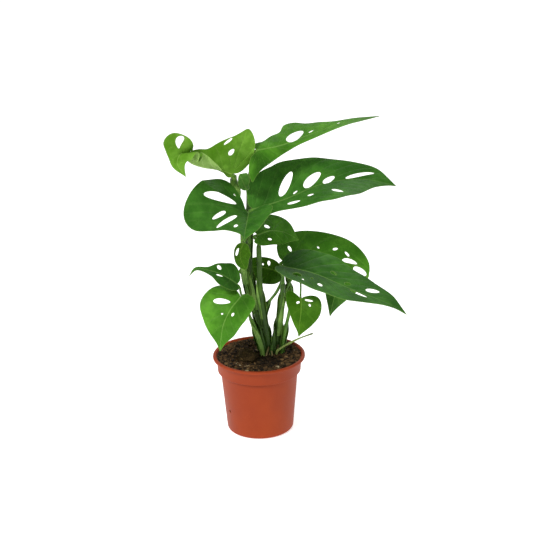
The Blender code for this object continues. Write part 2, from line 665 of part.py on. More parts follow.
def soil_height(x, y):
    """The peat's surface: a low mound round the stems, and lumps that fade out towards the pot's wall."""
    away = math.hypot(x - CROWN_CENTRE[0], y - CROWN_CENTRE[1])
    spread = math.exp(-((away / CROWN_SPREAD) ** 2))
    lumps = math.sin(x * 0.31 + 1) * math.cos(y * 0.27) + 0.6 * math.sin(x * 0.17 - y * 0.36 + 2)
    fade = max(0.0, 1 - (math.hypot(x, y) / SOIL_RADIUS) ** 6)
    return SOIL_EDGE_Z + (SOIL_CROWN_Z - SOIL_EDGE_Z) * spread + SOIL_RIPPLE * lumps * fade


def soil_profile():
    """The peat's section: its top, then down the inside of the pot at a small gap, and its foot."""
    wall = POT_WALL + GAP
    step = COLLAR_FOOT_Z + POT_WALL + 1.4 * GAP
    rings = [(SOIL_RADIUS * k / SOIL_RINGS, SOIL_EDGE_Z) for k in range(SOIL_RINGS + 1)]
    side = [(COLLAR_TOP_RADIUS - wall, SOIL_EDGE_Z - SOIL_EDGE_DEPTH)]
    side += [(COLLAR_FOOT_RADIUS - wall, step + COLLAR_STEP), (BODY_TOP_RADIUS - wall, step)]
    foot = [(FOOT_INNER_RADIUS - GAP, POT_FLOOR + GAP), (0, POT_FLOOR + GAP)]
    return rings + side + foot


def build_soil(collection, cutters, material):
    soil = turned("soil", soil_profile(), collection, material, POT_SIDES)
    graph = bpy.context.evaluated_depsgraph_get()
    soil.data = bpy.data.meshes.new_from_object(soil.evaluated_get(graph))
    soil.modifiers.clear()
    for v in soil.data.vertices:
        if v.co.z > (SOIL_EDGE_Z - GAP) * MM:
            v.co.z = soil_height(v.co.x / MM, v.co.y / MM) * MM
    return soil


def build_clod(soil, collection, material):
    """The clod of peat that sits on the soil."""
    mesh = bpy.data.meshes.new("peat_clod")
    bm = bmesh.new()
    bmesh.ops.create_icosphere(bm, subdivisions=2, radius=1)
    for v in bm.verts:
        lumps = CLOD_LUMPS * math.sin(5 * v.co.x + 2) * math.cos(4 * v.co.y)
        push = 1 + lumps + CLOD_RIPPLE * math.sin(7 * v.co.z)
        spot = [CLOD_CENTRE[k] + v.co[k] * CLOD_SIZE[k] * push for k in range(3)]
        _, ground, _, _ = soil.ray_cast(Vector((spot[0], spot[1], 2 * POT_HEIGHT)) * MM, Vector((0, 0, -1)))
        spot[2] = max(spot[2], ground.z / MM + CLOD_SEAT)
        v.co = Vector(spot) * MM
    bm.to_mesh(mesh)
    bm.free()
    return add_to(collection, "peat_clod", mesh, material)


def make_material(name, colour, roughness):
    material = bpy.data.materials.new(name)
    material.use_nodes = True
    shader = material.node_tree.nodes["Principled BSDF"]
    shader.inputs["Base Color"].default_value = colour
    shader.inputs["Roughness"].default_value = roughness
    shader.inputs["Metallic"].default_value = 0
    return material


def main():
    for obj in list(bpy.data.objects):
        bpy.data.objects.remove(obj)
    plant = bpy.data.collections.new("monstera_adansonii")
    cutters = bpy.data.collections.new("cutters")
    for collection in (plant, cutters):
        bpy.context.scene.collection.children.link(collection)
    build_pot(plant, cutters, make_material("terracotta_plastic", TERRACOTTA, 0.45))
    soil = build_soil(plant, cutters, make_material("peat", PEAT, 0.95))
    build_stems(plant, cutters, make_material("stem", STEM_GREEN, 0.5))
    for cutter in [c for c in cutters.objects if c.name.endswith("_hole")]:
        cut(soil, cutter)
    build_clod(soil, plant, soil.data.materials[0])
    leaf_skin = make_material("leaf", LEAF_GREEN, 0.35)
    young_skin = make_material("young_leaf", YOUNG_GREEN, 0.4)
    for name, leaf in LEAVES.items():
        young = name in ("leaf_top_left", "leaf_heart_left", "leaf_heart_right", "leaf_young")
        build_leaf(name, leaf, plant, young_skin if young else leaf_skin)


main()
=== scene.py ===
"""The finished look of a young swiss cheese plant in its orange nursery pot.

Lengths are in millimetres unless a line says otherwise, and MM turns them into metres. -Y is the side that
the plant shows. A leaf is drawn flat first: s runs along its midrib from the stalk, u out to its left side.
"""

import math

import bpy
import numpy as np
from mathutils import Matrix, Vector, noise
from mathutils.geometry import delaunay_2d_cdt

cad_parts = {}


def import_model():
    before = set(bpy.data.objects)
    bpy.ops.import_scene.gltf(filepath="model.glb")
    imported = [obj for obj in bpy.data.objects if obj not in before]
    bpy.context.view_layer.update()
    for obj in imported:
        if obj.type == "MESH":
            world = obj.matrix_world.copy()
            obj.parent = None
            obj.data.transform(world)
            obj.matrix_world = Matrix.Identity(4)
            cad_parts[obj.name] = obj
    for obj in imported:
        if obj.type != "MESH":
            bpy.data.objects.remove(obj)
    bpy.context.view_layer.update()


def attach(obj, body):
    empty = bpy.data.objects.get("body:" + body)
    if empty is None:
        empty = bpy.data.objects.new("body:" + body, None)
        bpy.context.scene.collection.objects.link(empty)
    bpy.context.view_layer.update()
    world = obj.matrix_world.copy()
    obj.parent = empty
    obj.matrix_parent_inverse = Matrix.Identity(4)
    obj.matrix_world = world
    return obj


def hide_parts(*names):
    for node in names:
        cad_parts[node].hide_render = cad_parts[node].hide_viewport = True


MM = 0.001

CAMERA_PLACE = (12.21, -1820.57, 904.40)
CAMERA_PITCH = 20.5
CAMERA_ROLL = -1.2
CAMERA_LENS = 103.0
CAMERA_SENSOR = 36

WORLD_LIGHT = 0.42
FLOOR_GLOW = 0.6
FLOOR_SIZE = 40

# Each lamp: its name, where it stands and what it faces, how wide its disc is, all in metres, and its watts.
LAMPS = [
    ("key", (-0.9, -1.3, 1.7), (0, 0, 0.25), 0.6, 36),
    ("fill", (1.4, -1.0, 0.9), (0, 0, 0.2), 1.2, 3),
    ("back", (0.4, 1.5, 1.4), (0, 0, 0.25), 1.0, 8),
]

POT_HEIGHT = 103.0
RIM_RADIUS = 60.0
RIM_DEPTH = 3.6
RIM_INNER_RADIUS = 56.0
FLARE_FOOT_Z = 99.6
COLLAR_TOP_RADIUS = 55.3
COLLAR_FOOT_RADIUS = 54.2
COLLAR_FOOT_Z = 81.5
BODY_TOP_RADIUS = 50.4
FOOT_RADIUS = 43.6
FOOT_INNER_RADIUS = 40.3
POT_WALL = 1.8
POT_FLOOR = 2.4
POT_SIDES = 144
FOOT_CURVE = 4
FOOT_RECESS = 0.9
CREASE_DROP = 0.6
CREASE_CURVE = 0.7
COLLAR_CURVE = 0.9
UNDERLIP_CURVE = 0.5
LIP_EDGE_CURVE = 0.8
LIP_CURVE = 1.4
DRAIN_HOLES = 6
DRAIN_RADIUS = 3.5
DRAIN_RING = 27.0
WEEP_RADIUS = 1.9
WEEP_ANGLE = -147.8
WEEP_Z = 32.4
DRILL_LENGTH = 14

SOIL_RADIUS = 55.0
SOIL_EDGE_Z = 101.1
SOIL_CROWN_Z = 102.6
SOIL_SIDES = 120
SOIL_RINGS = 46
SOIL_GAP = 0.4
MOUND_CENTRE = (14, 10)
MOUND_REACH = 30
CRUMBS = 1700
CRUMB_MARGIN = 1.5
FIBRES = 60
FIBRE_MARGIN = 9
CRUMB_SEED = 7
CRUMB_LEAST = 0.55
CRUMB_SPAN = 1.5
FIBRE_LEAST = 3
FIBRE_SPAN = 6
FIBRE_SECTION = (0.28, 0.25)
FIBRE_LIFT = 0.8
STEM_SINK = 24.0
PEAT_SHADE_CENTRE = (0.010, -0.022, 0.102)

CLOD_CENTRE = (-15.5, -15, 104)
CLOD_SIZE = (12.5, 12, 11)

CELL = 2.5
EDGE_STEP = 1.7
LEAST_STEP = 0.3
RIB_SIDE = 1.1
BLADE_THICKNESS = 0.55
RIB_THICKNESS = 1.5
QUILT = 0.5
RIPPLE = 0.5
RIB_GROOVE = 0.5
FULL_RELIEF_LENGTH = 110
LIFT_REACH = 30
ROW_SPACING = 0.87
WINDOW_POINTS = 60
WINDOW_TAPER = 0.14
VEIN_STEP = 12.0
LOBE_VEIN_TURN = math.radians(24)
STALK_MEETS = (-5.0, 3.5)
STALK_SEAT = 0.2
RUN_OUT = 15.0
RUN_OUT_DEPTH = 0.9
RUN_OUT_RADIUS = 0.5
TUBE_STEP = 2.0
STEM_WOBBLE = 0.35
SWELL_REACH = 17
KNOT_RISE = 0.15
KNOT_REACH = 1.6
SHEATH_COLUMNS = 17
SHEATH_ROW = 2.5
SHEATH_CLEARANCE = 0.25
SHEATH_THICKNESS = 0.4
WELD_REACH = 0.00001

# Each leaf: its midrib's path, which way its face looks at even steps from base to tip, how far each half
# folds up in degrees at the same steps, the margin's points on each side, and its windows as two ends
# and a width. A lift bends the part behind the base upwards.
LEAVES = {
    "leaf_top_right": dict(
        spine=[(5, 8, 376), (35, 25, 377), (66, 40, 384), (109, 56, 394), (162, 70, 400)],
        face=[(0.1, -0.1, 1), (0, -0.05, 1), (0, 0, 1)],
        fold_left=(22, 8, 4),
        fold_right=(-60, 8, 10),
        left=[(-4, 5), (-3, 10), (5, 12), (13, 13), (30, 21), (45, 25), (58, 37), (71, 36), (82, 28),
              (96, 22), (114, 12), (142, 8)],
        right=[(-11, -6), (-17, -15), (-20, -28), (-18, -38), (-10, -31), (-1, -25), (13, -19), (31, -13),
               (52, -11), (74, -15.5), (100, -24), (124, -25), (151, -11)],
        windows=[((44, 2.5), (71, 13), 14), ((75, 4.5), (83, 6.5), 2.6), ((114, 3), (119, 4.4), 2.2)],
    ),
    "leaf_large_right": dict(
        spine=[(-3, 6, 299), (37, 16, 308), (89, 30, 324), (142, 42, 324), (181, 46, 313)],
        face=[(-0.1, -0.25, 1), (0, -0.25, 1), (0.2, -0.3, 1)],
        fold_left=(62, 30, 18, 15, 12),
        fold_right=(-12, 4, 0),
        left=[(-4, 6), (-3, 17), (-1, 28), (7, 35), (20, 42), (41, 49), (64, 53), (95, 46), (135, 32),
              (168, 22), (182, 11)],
        right=[(-5, -8), (4, -17), (29, -18), (72, -35), (101, -44), (134, -37), (165, -15), (184, -3)],
        windows=[((38, 6), (68, 34), 11), ((72, 4), (98, 19), 12.5), ((96, 0.5), (113, 8), 8),
                 ((126, 2.5), (164, 13), 6), ((55, 2.5), (62, 4.5), 2.2), ((101, -19), (113, -31), 5.6),
                 ((69, -12.5), (77, -15), 4), ((42, -10.5), (58, -15), 5)],
    ),
    "leaf_top_left": dict(
        spine=[(-29, -8, 350), (-47, -14, 359), (-64, -20, 364), (-78, -28, 372), (-88, -42, 388),
               (-93, -53, 379), (-83, -53, 361)],
        face=[(0.3, -0.7, 1), (0.1, -0.5, 1), (0, -0.4, 1), (-0.1, -1, 0.5), (0, -1, 0.1)],
        fold_left=(0, 65, 88, 30, 0),
        fold_right=(45, 50, 50, 20, 0),
        left=[(-1, 3), (6, 9), (15, 12), (28, 18), (45, 19), (60, 19), (78, 25), (92, 20), (106, 7)],
        right=[(-10, -6), (-18, -24), (-14, -48), (0, -60), (16, -43), (32, -25), (50, -20), (65, -15),
               (74, -17), (79, -22), (82, -27), (86, -25), (90, -17), (96, -9), (107, -4)],
        windows=[((12, -21), (9, -30), 5.2), ((15, -42), (20, -31), 2.2),
                 ((80, -21.5), (81.8, -6.5), 2.4), ((68.5, -12), (67.5, -9.5), 2.4)],
    ),
    "leaf_front_left": dict(
        spine=[(-9, -20, 302), (-11, -48, 299), (-13, -76, 296), (-14, -98, 292)],
        face=[(0, -0.2, 1), (0, -0.1, 1), (0, -0.2, 1)],
        fold_left=(30, 25, 5),
        fold_right=(38, 14, 0),
        lift=9,
        left=[(-2, 6), (-3, 14), (-2, 24), (12, 35), (30, 34), (42, 26), (56, 17), (68, 4)],
        right=[(-6, -5), (-18, -11), (-29, -26), (-27, -44), (-12, -63), (10, -76), (36, -79), (52, -73),
               (61, -60), (59, -40), (55, -22), (60, -6), (70, -2)],
        windows=[((-4, -19), (12, -62), 12), ((20, -29), (40, -42), 6), ((19, -14), (53, -35), 6.2),
                 ((38, -11), (46, -14), 4), ((-18.5, -24.5), (-17.5, -20.5), 2.6)],
    ),
    "leaf_behind": dict(
        spine=[(2, 5, 265), (18, 20, 265), (37, 32, 258), (55, 38, 245)],
        face=[(0, -0.3, 1), (0, -0.3, 1), (0.4, -0.3, 1)],
        fold_left=(25, 20, 10),
        fold_right=(-45, -30, -10),
        left=[(-1, 5), (3, 13), (11, 23), (24, 27), (42, 26), (53, 19), (62, 8)],
        right=[(-5, -3), (-10, -7), (-4, -13), (6, -17), (25, -20), (45, -17), (60, -7)],
        windows=[((18.5, 9.5), (24, 5), 5.6), ((11.5, -10), (18.5, -12), 3.2)],
    ),
    "leaf_lower_right_back": dict(
        spine=[(36, 22, 221), (72, 40, 215), (103, 50, 191), (95, 50, 132)],
        face=[(-0.2, -0.2, 1), (0.1, -0.3, 1), (1, -0.4, 0.6)],
        fold_left=(32, 28, 20),
        fold_right=(-50, -60, -40),
        left=[(-5, 7), (-5, 17), (-2, 27), (10, 38), (38, 46), (64, 50), (84, 56), (92, 47), (104, 31),
              (125, 15)],
        right=[(-5, -5), (-2, -14), (14, -22), (38, -25), (62, -24), (90, -20), (112, -13), (130, -5)],
        windows=[((15, 24), (15, 15), 4.6), ((49, 24.5), (50, 21.5), 2.8), ((66, 27.5), (70, 33.5), 2.6),
                 ((77, 34), (79.5, 37), 4), ((78, 22), (85, 38), 3.6), ((87, 28), (91, 44), 5)],
    ),
    "leaf_lower_right": dict(
        spine=[(34, -6, 226), (71, -22, 222), (116, -42, 208), (163, -58, 193), (186, -62, 179)],
        face=[(0.1, -0.15, 1), (0.2, -0.15, 1), (0.4, -0.15, 1)],
        fold_left=(15, 8, 5),
        fold_right=(4, 0, 0),
        left=[(-6, 8), (-4, 23), (7, 36), (32, 43), (57, 44), (78, 39), (105, 34), (126, 27), (148, 19),
              (162, 8)],
        right=[(-8, -4), (-6, -14), (6, -24), (25, -33), (50, -37), (74, -35), (97, -30), (119, -20),
               (140, -9), (158, -2)],
        windows=[((19, -13), (31, -18), 9), ((35, -23), (38, -26), 2.6), ((43, -14), (46.5, -15), 3.2),
                 ((56, -20), (63, -23), 5.6), ((82, 5), (90, 8), 6.5), ((93, -3.5), (117, -6), 5),
                 ((110, 9), (127, 16), 8.5), ((58, 15.5), (67, 13), 5.2)],
    ),
    "leaf_heart_left": dict(
        spine=[(-21, -30, 195), (-34, -42, 183), (-44, -48, 163), (-49, -50, 129)],
        face=[(-0.25, -0.6, 0.8), (-0.15, -1, 0.4), (0, -1, 0.2)],
        fold_left=(30, 26, 10),
        fold_right=(4, 2, 0),
        left=[(-5, 6), (-4, 16), (-1, 28), (6, 36), (22, 33), (33, 27), (53, 18), (68, 6)],
        right=[(-4, -8), (-6, -22), (2, -34), (18, -39), (32, -38), (45, -26), (56, -16), (68, -6)],
        windows=[((23, -25), (14, -6), 7), ((32, -8), (31, -5.5), 2.2), ((28, 6), (24, 9), 4.2)],
    ),
    "leaf_heart_right": dict(
        spine=[(55, -18, 186), (55, -26, 175), (53, -31, 159), (51, -32, 139)],
        face=[(0.1, -0.7, 0.7), (0.05, -1, 0.35), (0, -1, 0.2)],
        fold_left=(15, 10, 0),
        fold_right=(10, 8, 0),
        left=[(-2, 4), (-3, 14), (0, 22), (8, 26), (18, 25), (33, 16), (45, 5)],
        right=[(-5, -5), (-10, -14), (-7, -19), (0, -20), (12, -18), (31, -9), (44, -2)],
        windows=[((6.5, -6), (4, -1.5), 3), ((2, 5), (5, 15.5), 2.6), ((8, 10), (11, 12), 2.4)],
    ),
    "leaf_mid_left": dict(
        spine=[(-25, -14, 206), (-44, -24, 223), (-62, -32, 233), (-77, -38, 237), (-85, -40, 228)],
        face=[(0, -0.5, 1), (0.1, -0.5, 1), (-0.6, -0.6, 1)],
        fold_left=(0, 0, 0),
        fold_right=(20, 15, 0),
        left=[(-3, 5), (2, 12), (12, 18), (34, 20), (45, 10), (56, 5), (68, 3)],
        right=[(-3, -8), (3, -19), (13, -23), (25, -18), (36, -13), (48, -5), (66, -2)],
        windows=[((35.5, -9), (29, -8), 6), ((37, 4), (26, 2), 3)],
    ),
    "leaf_young": dict(
        spine=[(-16, -8, 259), (-20, -12, 250), (-20, -15, 239), (-13, -17, 226)],
        face=[(-0.2, -0.9, 0.5), (-0.2, -1, 0.3), (-0.4, -1, 0.1)],
        fold_left=(0, 0, 0),
        fold_right=(0, 0, 0),
        left=[(0, 6), (10, 13), (22, 12), (32, 6)],
        right=[(2, -5), (8, -8), (20, -8), (28, -7), (34, -4)],
        windows=[((17, -5.2), (8, -3.4), 3.2)],
    ),
    "leaf_shaded": dict(
        spine=[(31, 36, 201), (12, 44, 205), (-8, 46, 206), (-25, 46, 200)],
        face=[(0, -1.2, 0.7), (0, -1.2, 0.7), (0, -1.2, 0.7)],
        fold_left=(0, 0, 0),
        fold_right=(10, 10, 0),
        left=[(-4, 8), (3, 17), (20, 21), (34, 18), (47, 12), (56, 6)],
        right=[(-2, -4), (4, -9), (13, -13), (23, -14), (35, -13), (47, -9), (56, -3)],
        windows=[((20, -10), (18.5, -4), 3.4), ((27, -5.5), (25.5, -3), 2.2)],
    ),
    "leaf_bract": dict(
        spine=[(-10, 3, 325), (-14, -2, 336), (-17, -5, 344), (-19, -5.5, 349)],
        face=[(-0.3, -1, 0.3), (-0.3, -1, 0.3), (-0.2, -1, 0.1)],
        fold_left=(20, 20, 10),
        fold_right=(35, 35, 20),
        left=[(2, 4), (9, 7), (17, 6), (24, 3)],
        right=[(4, -5), (13, -9), (22, -13), (28, -9)],
        windows=[],
    ),
}

# Each stem: its own path from the soil up, its radius at the foot and the top, and the stalks that branch
# from it. A stalk ends under the leaf that it names, at that leaf's base: meets says how far along the
# midrib, seat how far below it, and notch that it stops between the two lobes.
STEMS = {
    "stem_main": dict(
        path=[(12, 19, 103), (11, 19, 112), (6.5, 18, 126), (-1, 19, 149), (-7, 20, 184), (-10, 20, 223),
              (-9, 21, 253), (-9, 23, 285), (-8, 26, 310), (-7, 26, 334)],
        radii=(5.2, 3.4),
        stalks=[
            dict(leaf="leaf_top_right", radii=(3.2, 1.9), meets=(-3, 5), seat=1.1,
                 path=[(-7, 26, 316), (-7, 26, 335), (-2, 19, 358)]),
            dict(leaf="leaf_large_right", radii=(3.0, 2.1),
                 path=[(-9, 21, 260), (-7, 15, 281)]),
            dict(leaf="leaf_front_left", radii=(3.0, 2.0),
                 path=[(-9, 19, 250), (-9, 5, 274), (-9, -10, 290)]),
            dict(leaf="leaf_top_left", radii=(2.8, 1.9),
                 path=[(-2, 18, 148), (-12, 14, 180), (-17, 12, 215), (-18, 14, 255), (-18, 18, 288),
                       (-21, 18, 313), (-27, 9, 335)]),
            dict(leaf="leaf_young", radii=(2.2, 1.2),
                 path=[(-8, 20, 196), (-15, 10, 218), (-17, 2, 240)]),
            dict(leaf="leaf_bract", radii=(1.8, 1.3), meets=(8.0,), seat=-0.7,
                 path=[(-24, 14, 323), (-19, 8, 329)]),
        ],
    ),
    "stem_middle": dict(
        path=[(13.5, 5, 103), (12.8, 5.4, 112), (8, 7, 147), (4, 8, 182), (3, 9, 223), (3, 8, 247)],
        radii=(4.4, 3.2),
        stalks=[
            dict(leaf="leaf_behind", radii=(2.6, 1.8),
                 path=[(3, 8, 240), (3, 7, 254)]),
            dict(leaf="leaf_shaded", radii=(2.2, 1.5), meets=(-2.2,), notch=True,
                 path=[(8, 8, 147), (13, 15, 166), (24, 20, 180), (30, 24, 190), (33, 31, 198)]),
        ],
    ),
    "stem_right": dict(
        path=[(24, 12, 103), (24, 12, 112), (27, 12, 142), (31, 10, 173), (33, 5, 196)],
        radii=(4.8, 3.0),
        stalks=[
            dict(leaf="leaf_lower_right", radii=(2.8, 2.0),
                 path=[(32, 7, 190), (33, 2, 208)]),
            dict(leaf="leaf_heart_right", radii=(1.9, 1.2), seat=0.25,
                 path=[(31, 10, 170), (38, 13, 189), (45, 9, 203), (51, 1, 209), (55, -8, 204)]),
        ],
    ),
    "stalk_heart_left": dict(
        path=[(5, -4, 103), (3.7, -3.5, 113), (-2, 0, 134), (-10, -9, 158), (-16, -22, 180)],
        radii=(3.0, 1.7),
        leaf="leaf_heart_left",
        stalks=[],
    ),
    "stalk_mid_left": dict(
        path=[(2, 12, 103), (-0.5, 12, 112), (-8, 9, 140), (-14, 0, 168), (-21, -8, 190)],
        radii=(2.4, 1.6),
        leaf="leaf_mid_left",
        stalks=[],
    ),
    "stalk_lower_right_back": dict(
        path=[(30, 3, 103), (31.5, 4.5, 113), (36, 9, 136), (41, 13, 158), (43, 18, 178), (40, 20, 200)],
        radii=(2.8, 2.0),
        leaf="leaf_lower_right_back",
        stalks=[],
    ),
}

DRY_STUB_PATH = [(23, -3, 103), (23.5, -3.2, 107), (29, -4, 112), (40, -5, 119), (52, -7, 126),
                 (70, -10, 134)]
DRY_STUB_RADII = (2.4, 1.2)
DRY_STUB_SHRINK = (0.8, 0.95)
DRY_STUB_KNOTS = (108, 119)

# The finish of each leaf, and how far its side veins lean towards the tip, near its base and near its tip.
LEAF_LOOKS = {
    "leaf_top_right": ("painted_lit_leaf", (0.7, 2.8)),
    "leaf_large_right": ("mature_leaf", (0.7, 3.0)),
    "leaf_top_left": ("tender_leaf", (0.5, 1.6)),
    "leaf_front_left": ("mature_leaf", (0.4, 2.2)),
    "leaf_behind": ("painted_lit_leaf", (0.5, 1.6)),
    "leaf_lower_right_back": ("painted_lit_leaf", (0.6, 1.8)),
    "leaf_lower_right": ("mature_leaf", (0.6, 2.6)),
    "leaf_heart_left": ("painted_lit_leaf", (0.5, 1.8)),
    "leaf_heart_right": ("painted_shade_leaf", (0.5, 1.8)),
    "leaf_mid_left": ("mature_leaf", (0.6, 1.8)),
    "leaf_young": ("painted_shade_leaf", (0.8, 1.8)),
    "leaf_shaded": ("painted_shade_leaf", (0.5, 1.6)),
    "leaf_bract": ("bract", (1.5, 2.5)),
}

# Painted shade on each leaf, which darkens it towards its shadow green: the middle of the place (s, u), its
# reach and how deep.
LEAF_PAINTED_SHADE = {
    "leaf_top_right": [(-6, -8, 12, 0.8), (2, -24, 15, 0.95), (30, -10, 14, 0.4)],
    "leaf_large_right": [(18, 12, 12, 0.6), (20, 34, 14, 0.3)],
    "leaf_top_left": [(-4, -20, 20, 0.6)],
    "leaf_front_left": [(12, -10, 20, 0.55), (0, -45, 20, 0.6)],
    "leaf_behind": [(5, 0, 22, 0.6)],
    "leaf_lower_right_back": [(22, 4, 22, 0.5), (126, -4, 26, 1.0)],
    "leaf_lower_right": [(20, 2, 28, 0.95), (50, -12, 24, 0.6)],
    "leaf_mid_left": [(14, 5, 16, 0.6)],
    "leaf_heart_left": [(6, 15, 18, 0.75), (39, 0, 11, 0.4)],
    "leaf_shaded": [(20, 0, 30, 0.6)],
}

# The leaves for which stand_for is handed the slot young_leaf. The others are handed leaf.
YOUNG_LEAVES = ("leaf_top_left", "leaf_heart_right", "leaf_young", "leaf_bract")

# The heights of the rings that old leaves left on each stem.
KNOTS = {
    "stem_main": (112, 131, 151, 178, 206, 232, 262, 292),
    "stem_middle": (114, 138, 160, 191, 220),
    "stem_right": (116, 141, 166),
}

# How much each stem swells at the soil.
SWELLS = {"stem_main": 0.22, "stem_middle": 0.35, "stem_right": 0.30, "stalk_heart_left": 0.15}

# Sheaths on each stem: on the stem itself (-1) or on one of its stalks, from which height to which, the way
# its back faces and how far it reaches round each way in degrees, and how far it stands off. Those whose
# back faces the viewer take a paler finish, a painted highlight.
SHEATHS = {
    "stem_main": [(3, 350, 306, 90, 112, 2.6), (-1, 100, 176, 265, 128, 1.2), (-1, 160, 236, 250, 122, 0.9),
                  (-1, 228, 300, 280, 118, 0.8), (3, 152, 262, 275, 120, 0.7), (4, 200, 246, 275, 110, 0.5),
                  (2, 255, 292, 270, 115, 0.5), (-1, 158, 222, 105, 48, 0.5), (3, 196, 272, 95, 62, 0.4)],
    "stem_middle": [(-1, 100, 150, 275, 128, 1.6), (-1, 138, 205, 262, 120, 0.9),
                    (1, 150, 176, 280, 110, 0.7), (-1, 150, 206, 150, 42, 0.4)],
    "stem_right": [(-1, 100, 158, 262, 128, 1.8), (-1, 146, 196, 285, 122, 1.0), (1, 173, 200, 250, 110, 0.6),
                   (-1, 124, 186, 60, 44, 0.5)],
    "stalk_heart_left": [(-1, 101, 158, 130, 80, 0.8)],
    "stalk_mid_left": [(-1, 101, 148, 285, 120, 0.6)],
    "stalk_lower_right_back": [(-1, 101, 150, 275, 125, 0.9), (-1, 170, 206, 215, 120, 1.1)],
}

# Old leaf bases between the stems, which close their crown: points with a radius.
BUDS = {
    "stem_middle": [
        [(18, 4, 92, 4.6), (18.5, 4, 104, 4.4), (19, 4.5, 116, 3.4), (20.5, 6, 130, 1.6), (21, 7, 137, 0.5)],
        [(8, 2, 92, 3.6), (7.6, 1.6, 104, 3.4), (6, 1.5, 118, 2.6), (3.5, 1.2, 134, 1.2), (2.6, 1, 140, 0.4)],
        [(15, -2, 92, 3.4), (15.5, -2.6, 102, 3.2), (16.5, -2.2, 111, 2.2), (17.5, -1.5, 119, 0.6)],
    ],
}

# Short roots at the foot of each stem: points with a radius.
ROOTS = {
    "stem_middle": [
        [(13, 1, 112, 1.3), (11, -6, 108, 1.2), (9, -10, 102, 1.0), (8, -12, 95, 0.8)],
        [(15, 0, 110, 1.2), (17, -7, 106, 1.1), (17, -11, 101, 0.9), (17, -13, 95, 0.7)],
        [(12, 2, 108, 1.0), (14, -5, 104, 1.0), (13, -8, 100, 0.9), (13, -9, 95, 0.7)],
    ],
    "stem_right": [[(25, 8, 111, 1.2), (24, 2, 107, 1.1), (22, -2, 102, 0.9), (21, -4, 95, 0.7)]],
}

# Each leaf finish: the green of its painted shade, its deep and fresh greens and its midrib's colour as on a
# screen, its roughness, and the share of light that passes through it. painted_lit_leaf is a lighter copy
# painted for leaves that stand in full light, painted_shade_leaf a darker copy painted for leaves in shade.
LEAF_GREENS = {
    "mature_leaf": ((20, 52, 8), (44, 94, 24), (76, 134, 44), (118, 158, 78), 0.38, 0.12),
    "painted_lit_leaf": ((26, 64, 10), (58, 114, 22), (96, 160, 44), (136, 182, 86), 0.38, 0.16),
    "tender_leaf": ((46, 92, 6), (82, 134, 22), (128, 180, 64), (158, 198, 94), 0.40, 0.24),
    "painted_shade_leaf": ((28, 62, 4), (50, 94, 10), (84, 134, 26), (114, 156, 54), 0.40, 0.16),
    "bract": ((34, 74, 18), (58, 104, 32), (86, 136, 54), (124, 162, 80), 0.44, 0.18),
}
UNDERSIDE = ((24, 54, 10), (80, 120, 46), (110, 150, 72), (148, 180, 106), 0.52, 0.16)
TENDER_UNDERSIDE = ((96, 136, 48), (130, 170, 80), (166, 202, 112), (192, 216, 146), 0.52, 0.24)
LEAF_EDGE = (150, 176, 92)

# How strongly the midrib and the side veins show on the two sides of a leaf.
TOP_VEINS = (0.5, 0.08)
UNDERSIDE_VEINS = (0.8, 0.28)

# Each stem finish: its deep and fresh colours, its dull marks' colour, and its roughness.
STEM_LOOKS = {
    "stem": ((32, 62, 8), (64, 100, 24), (98, 102, 48), 0.42),
    "stalk": ((52, 92, 16), (92, 136, 42), (118, 132, 62), 0.40),
    "sheath": ((48, 86, 14), (104, 140, 50), (150, 154, 92), 0.48),
    # The paler sheath finish is a painted highlight.
    "highlit_sheath": ((68, 110, 28), (126, 164, 74), (172, 186, 118), 0.46),
    "root": ((92, 82, 46), (138, 126, 82), (70, 52, 30), 0.6),
    "dry_stub": ((84, 104, 44), (140, 158, 84), (118, 104, 60), 0.6),
}

# Each peat finish: its dark, brown and pale colours, and the level above which a grain is a pale speck.
PEAT_LOOKS = {
    "peat": ((12, 8, 3), (98, 74, 44), (140, 112, 74), 0.96),
    "peat_lump": ((36, 27, 10), (84, 66, 34), (112, 90, 54), 0.95),
}


def smooth(points, steps):
    """A smooth run of points through the given ones: a centripetal Catmull-Rom curve."""
    p = np.asarray(points, float)
    p = np.vstack([2 * p[0] - p[1], p, 2 * p[-1] - p[-2]])
    runs = []
    for a, b, c, d in zip(p, p[1:], p[2:], p[3:]):
        t1 = np.linalg.norm(b - a) ** 0.5
        t2 = t1 + np.linalg.norm(c - b) ** 0.5
        t3 = t2 + np.linalg.norm(d - c) ** 0.5
        t = np.linspace(t1, t2, steps, endpoint=False)[:, None]
        ab = (t1 - t) / t1 * a + t / t1 * b
        bc = (t2 - t) / (t2 - t1) * b + (t - t1) / (t2 - t1) * c
        cd = (t3 - t) / (t3 - t2) * c + (t - t2) / (t3 - t2) * d
        abc = (t2 - t) / t2 * ab + t / t2 * bc
        bcd = (t3 - t) / (t3 - t1) * bc + (t - t1) / (t3 - t1) * cd
        runs.append((t2 - t) / (t2 - t1) * abc + (t - t1) / (t2 - t1) * bcd)
    return np.vstack(runs + [p[-2][None]])


def even(points, step):
    """The same run of points, placed evenly about a step apart."""
    length = np.concatenate([[0], np.cumsum(np.linalg.norm(np.diff(points[:, :3], axis=0), axis=1))])
    count = max(2, round(length[-1] / step))
    at = np.linspace(0, length[-1], count + 1)
    return np.stack([np.interp(at, length, points[:, k]) for k in range(points.shape[1])], axis=1)


def between(values, t):
    """Values given at even steps from base to tip, read smoothly at t from 0 to 1."""
    v = np.asarray(values, float)
    flat = v.ndim == 1
    if flat:
        v = v[:, None]
    v = np.vstack([2 * v[0] - v[1], v, 2 * v[-1] - v[-2]])
    spans = len(v) - 3
    x = np.clip(t, 0, 1) * spans
    k = np.minimum(x.astype(int), spans - 1)
    f = (x - k)[:, None]
    a, b, c, d = v[k], v[k + 1], v[k + 2], v[k + 3]
    run = b + 0.5 * f * (c - a + f * (2 * a - 5 * b + 4 * c - d + f * (3 * (b - c) + d - a)))
    return run[:, 0] if flat else run


def unit(v):
    return v / np.linalg.norm(v, axis=-1, keepdims=True)


def ease(low, high, x):
    """0 below low, 1 above high, and a smooth rise between them."""
    t = np.clip((x - low) / (high - low), 0, 1)
    return t * t * (3 - 2 * t)


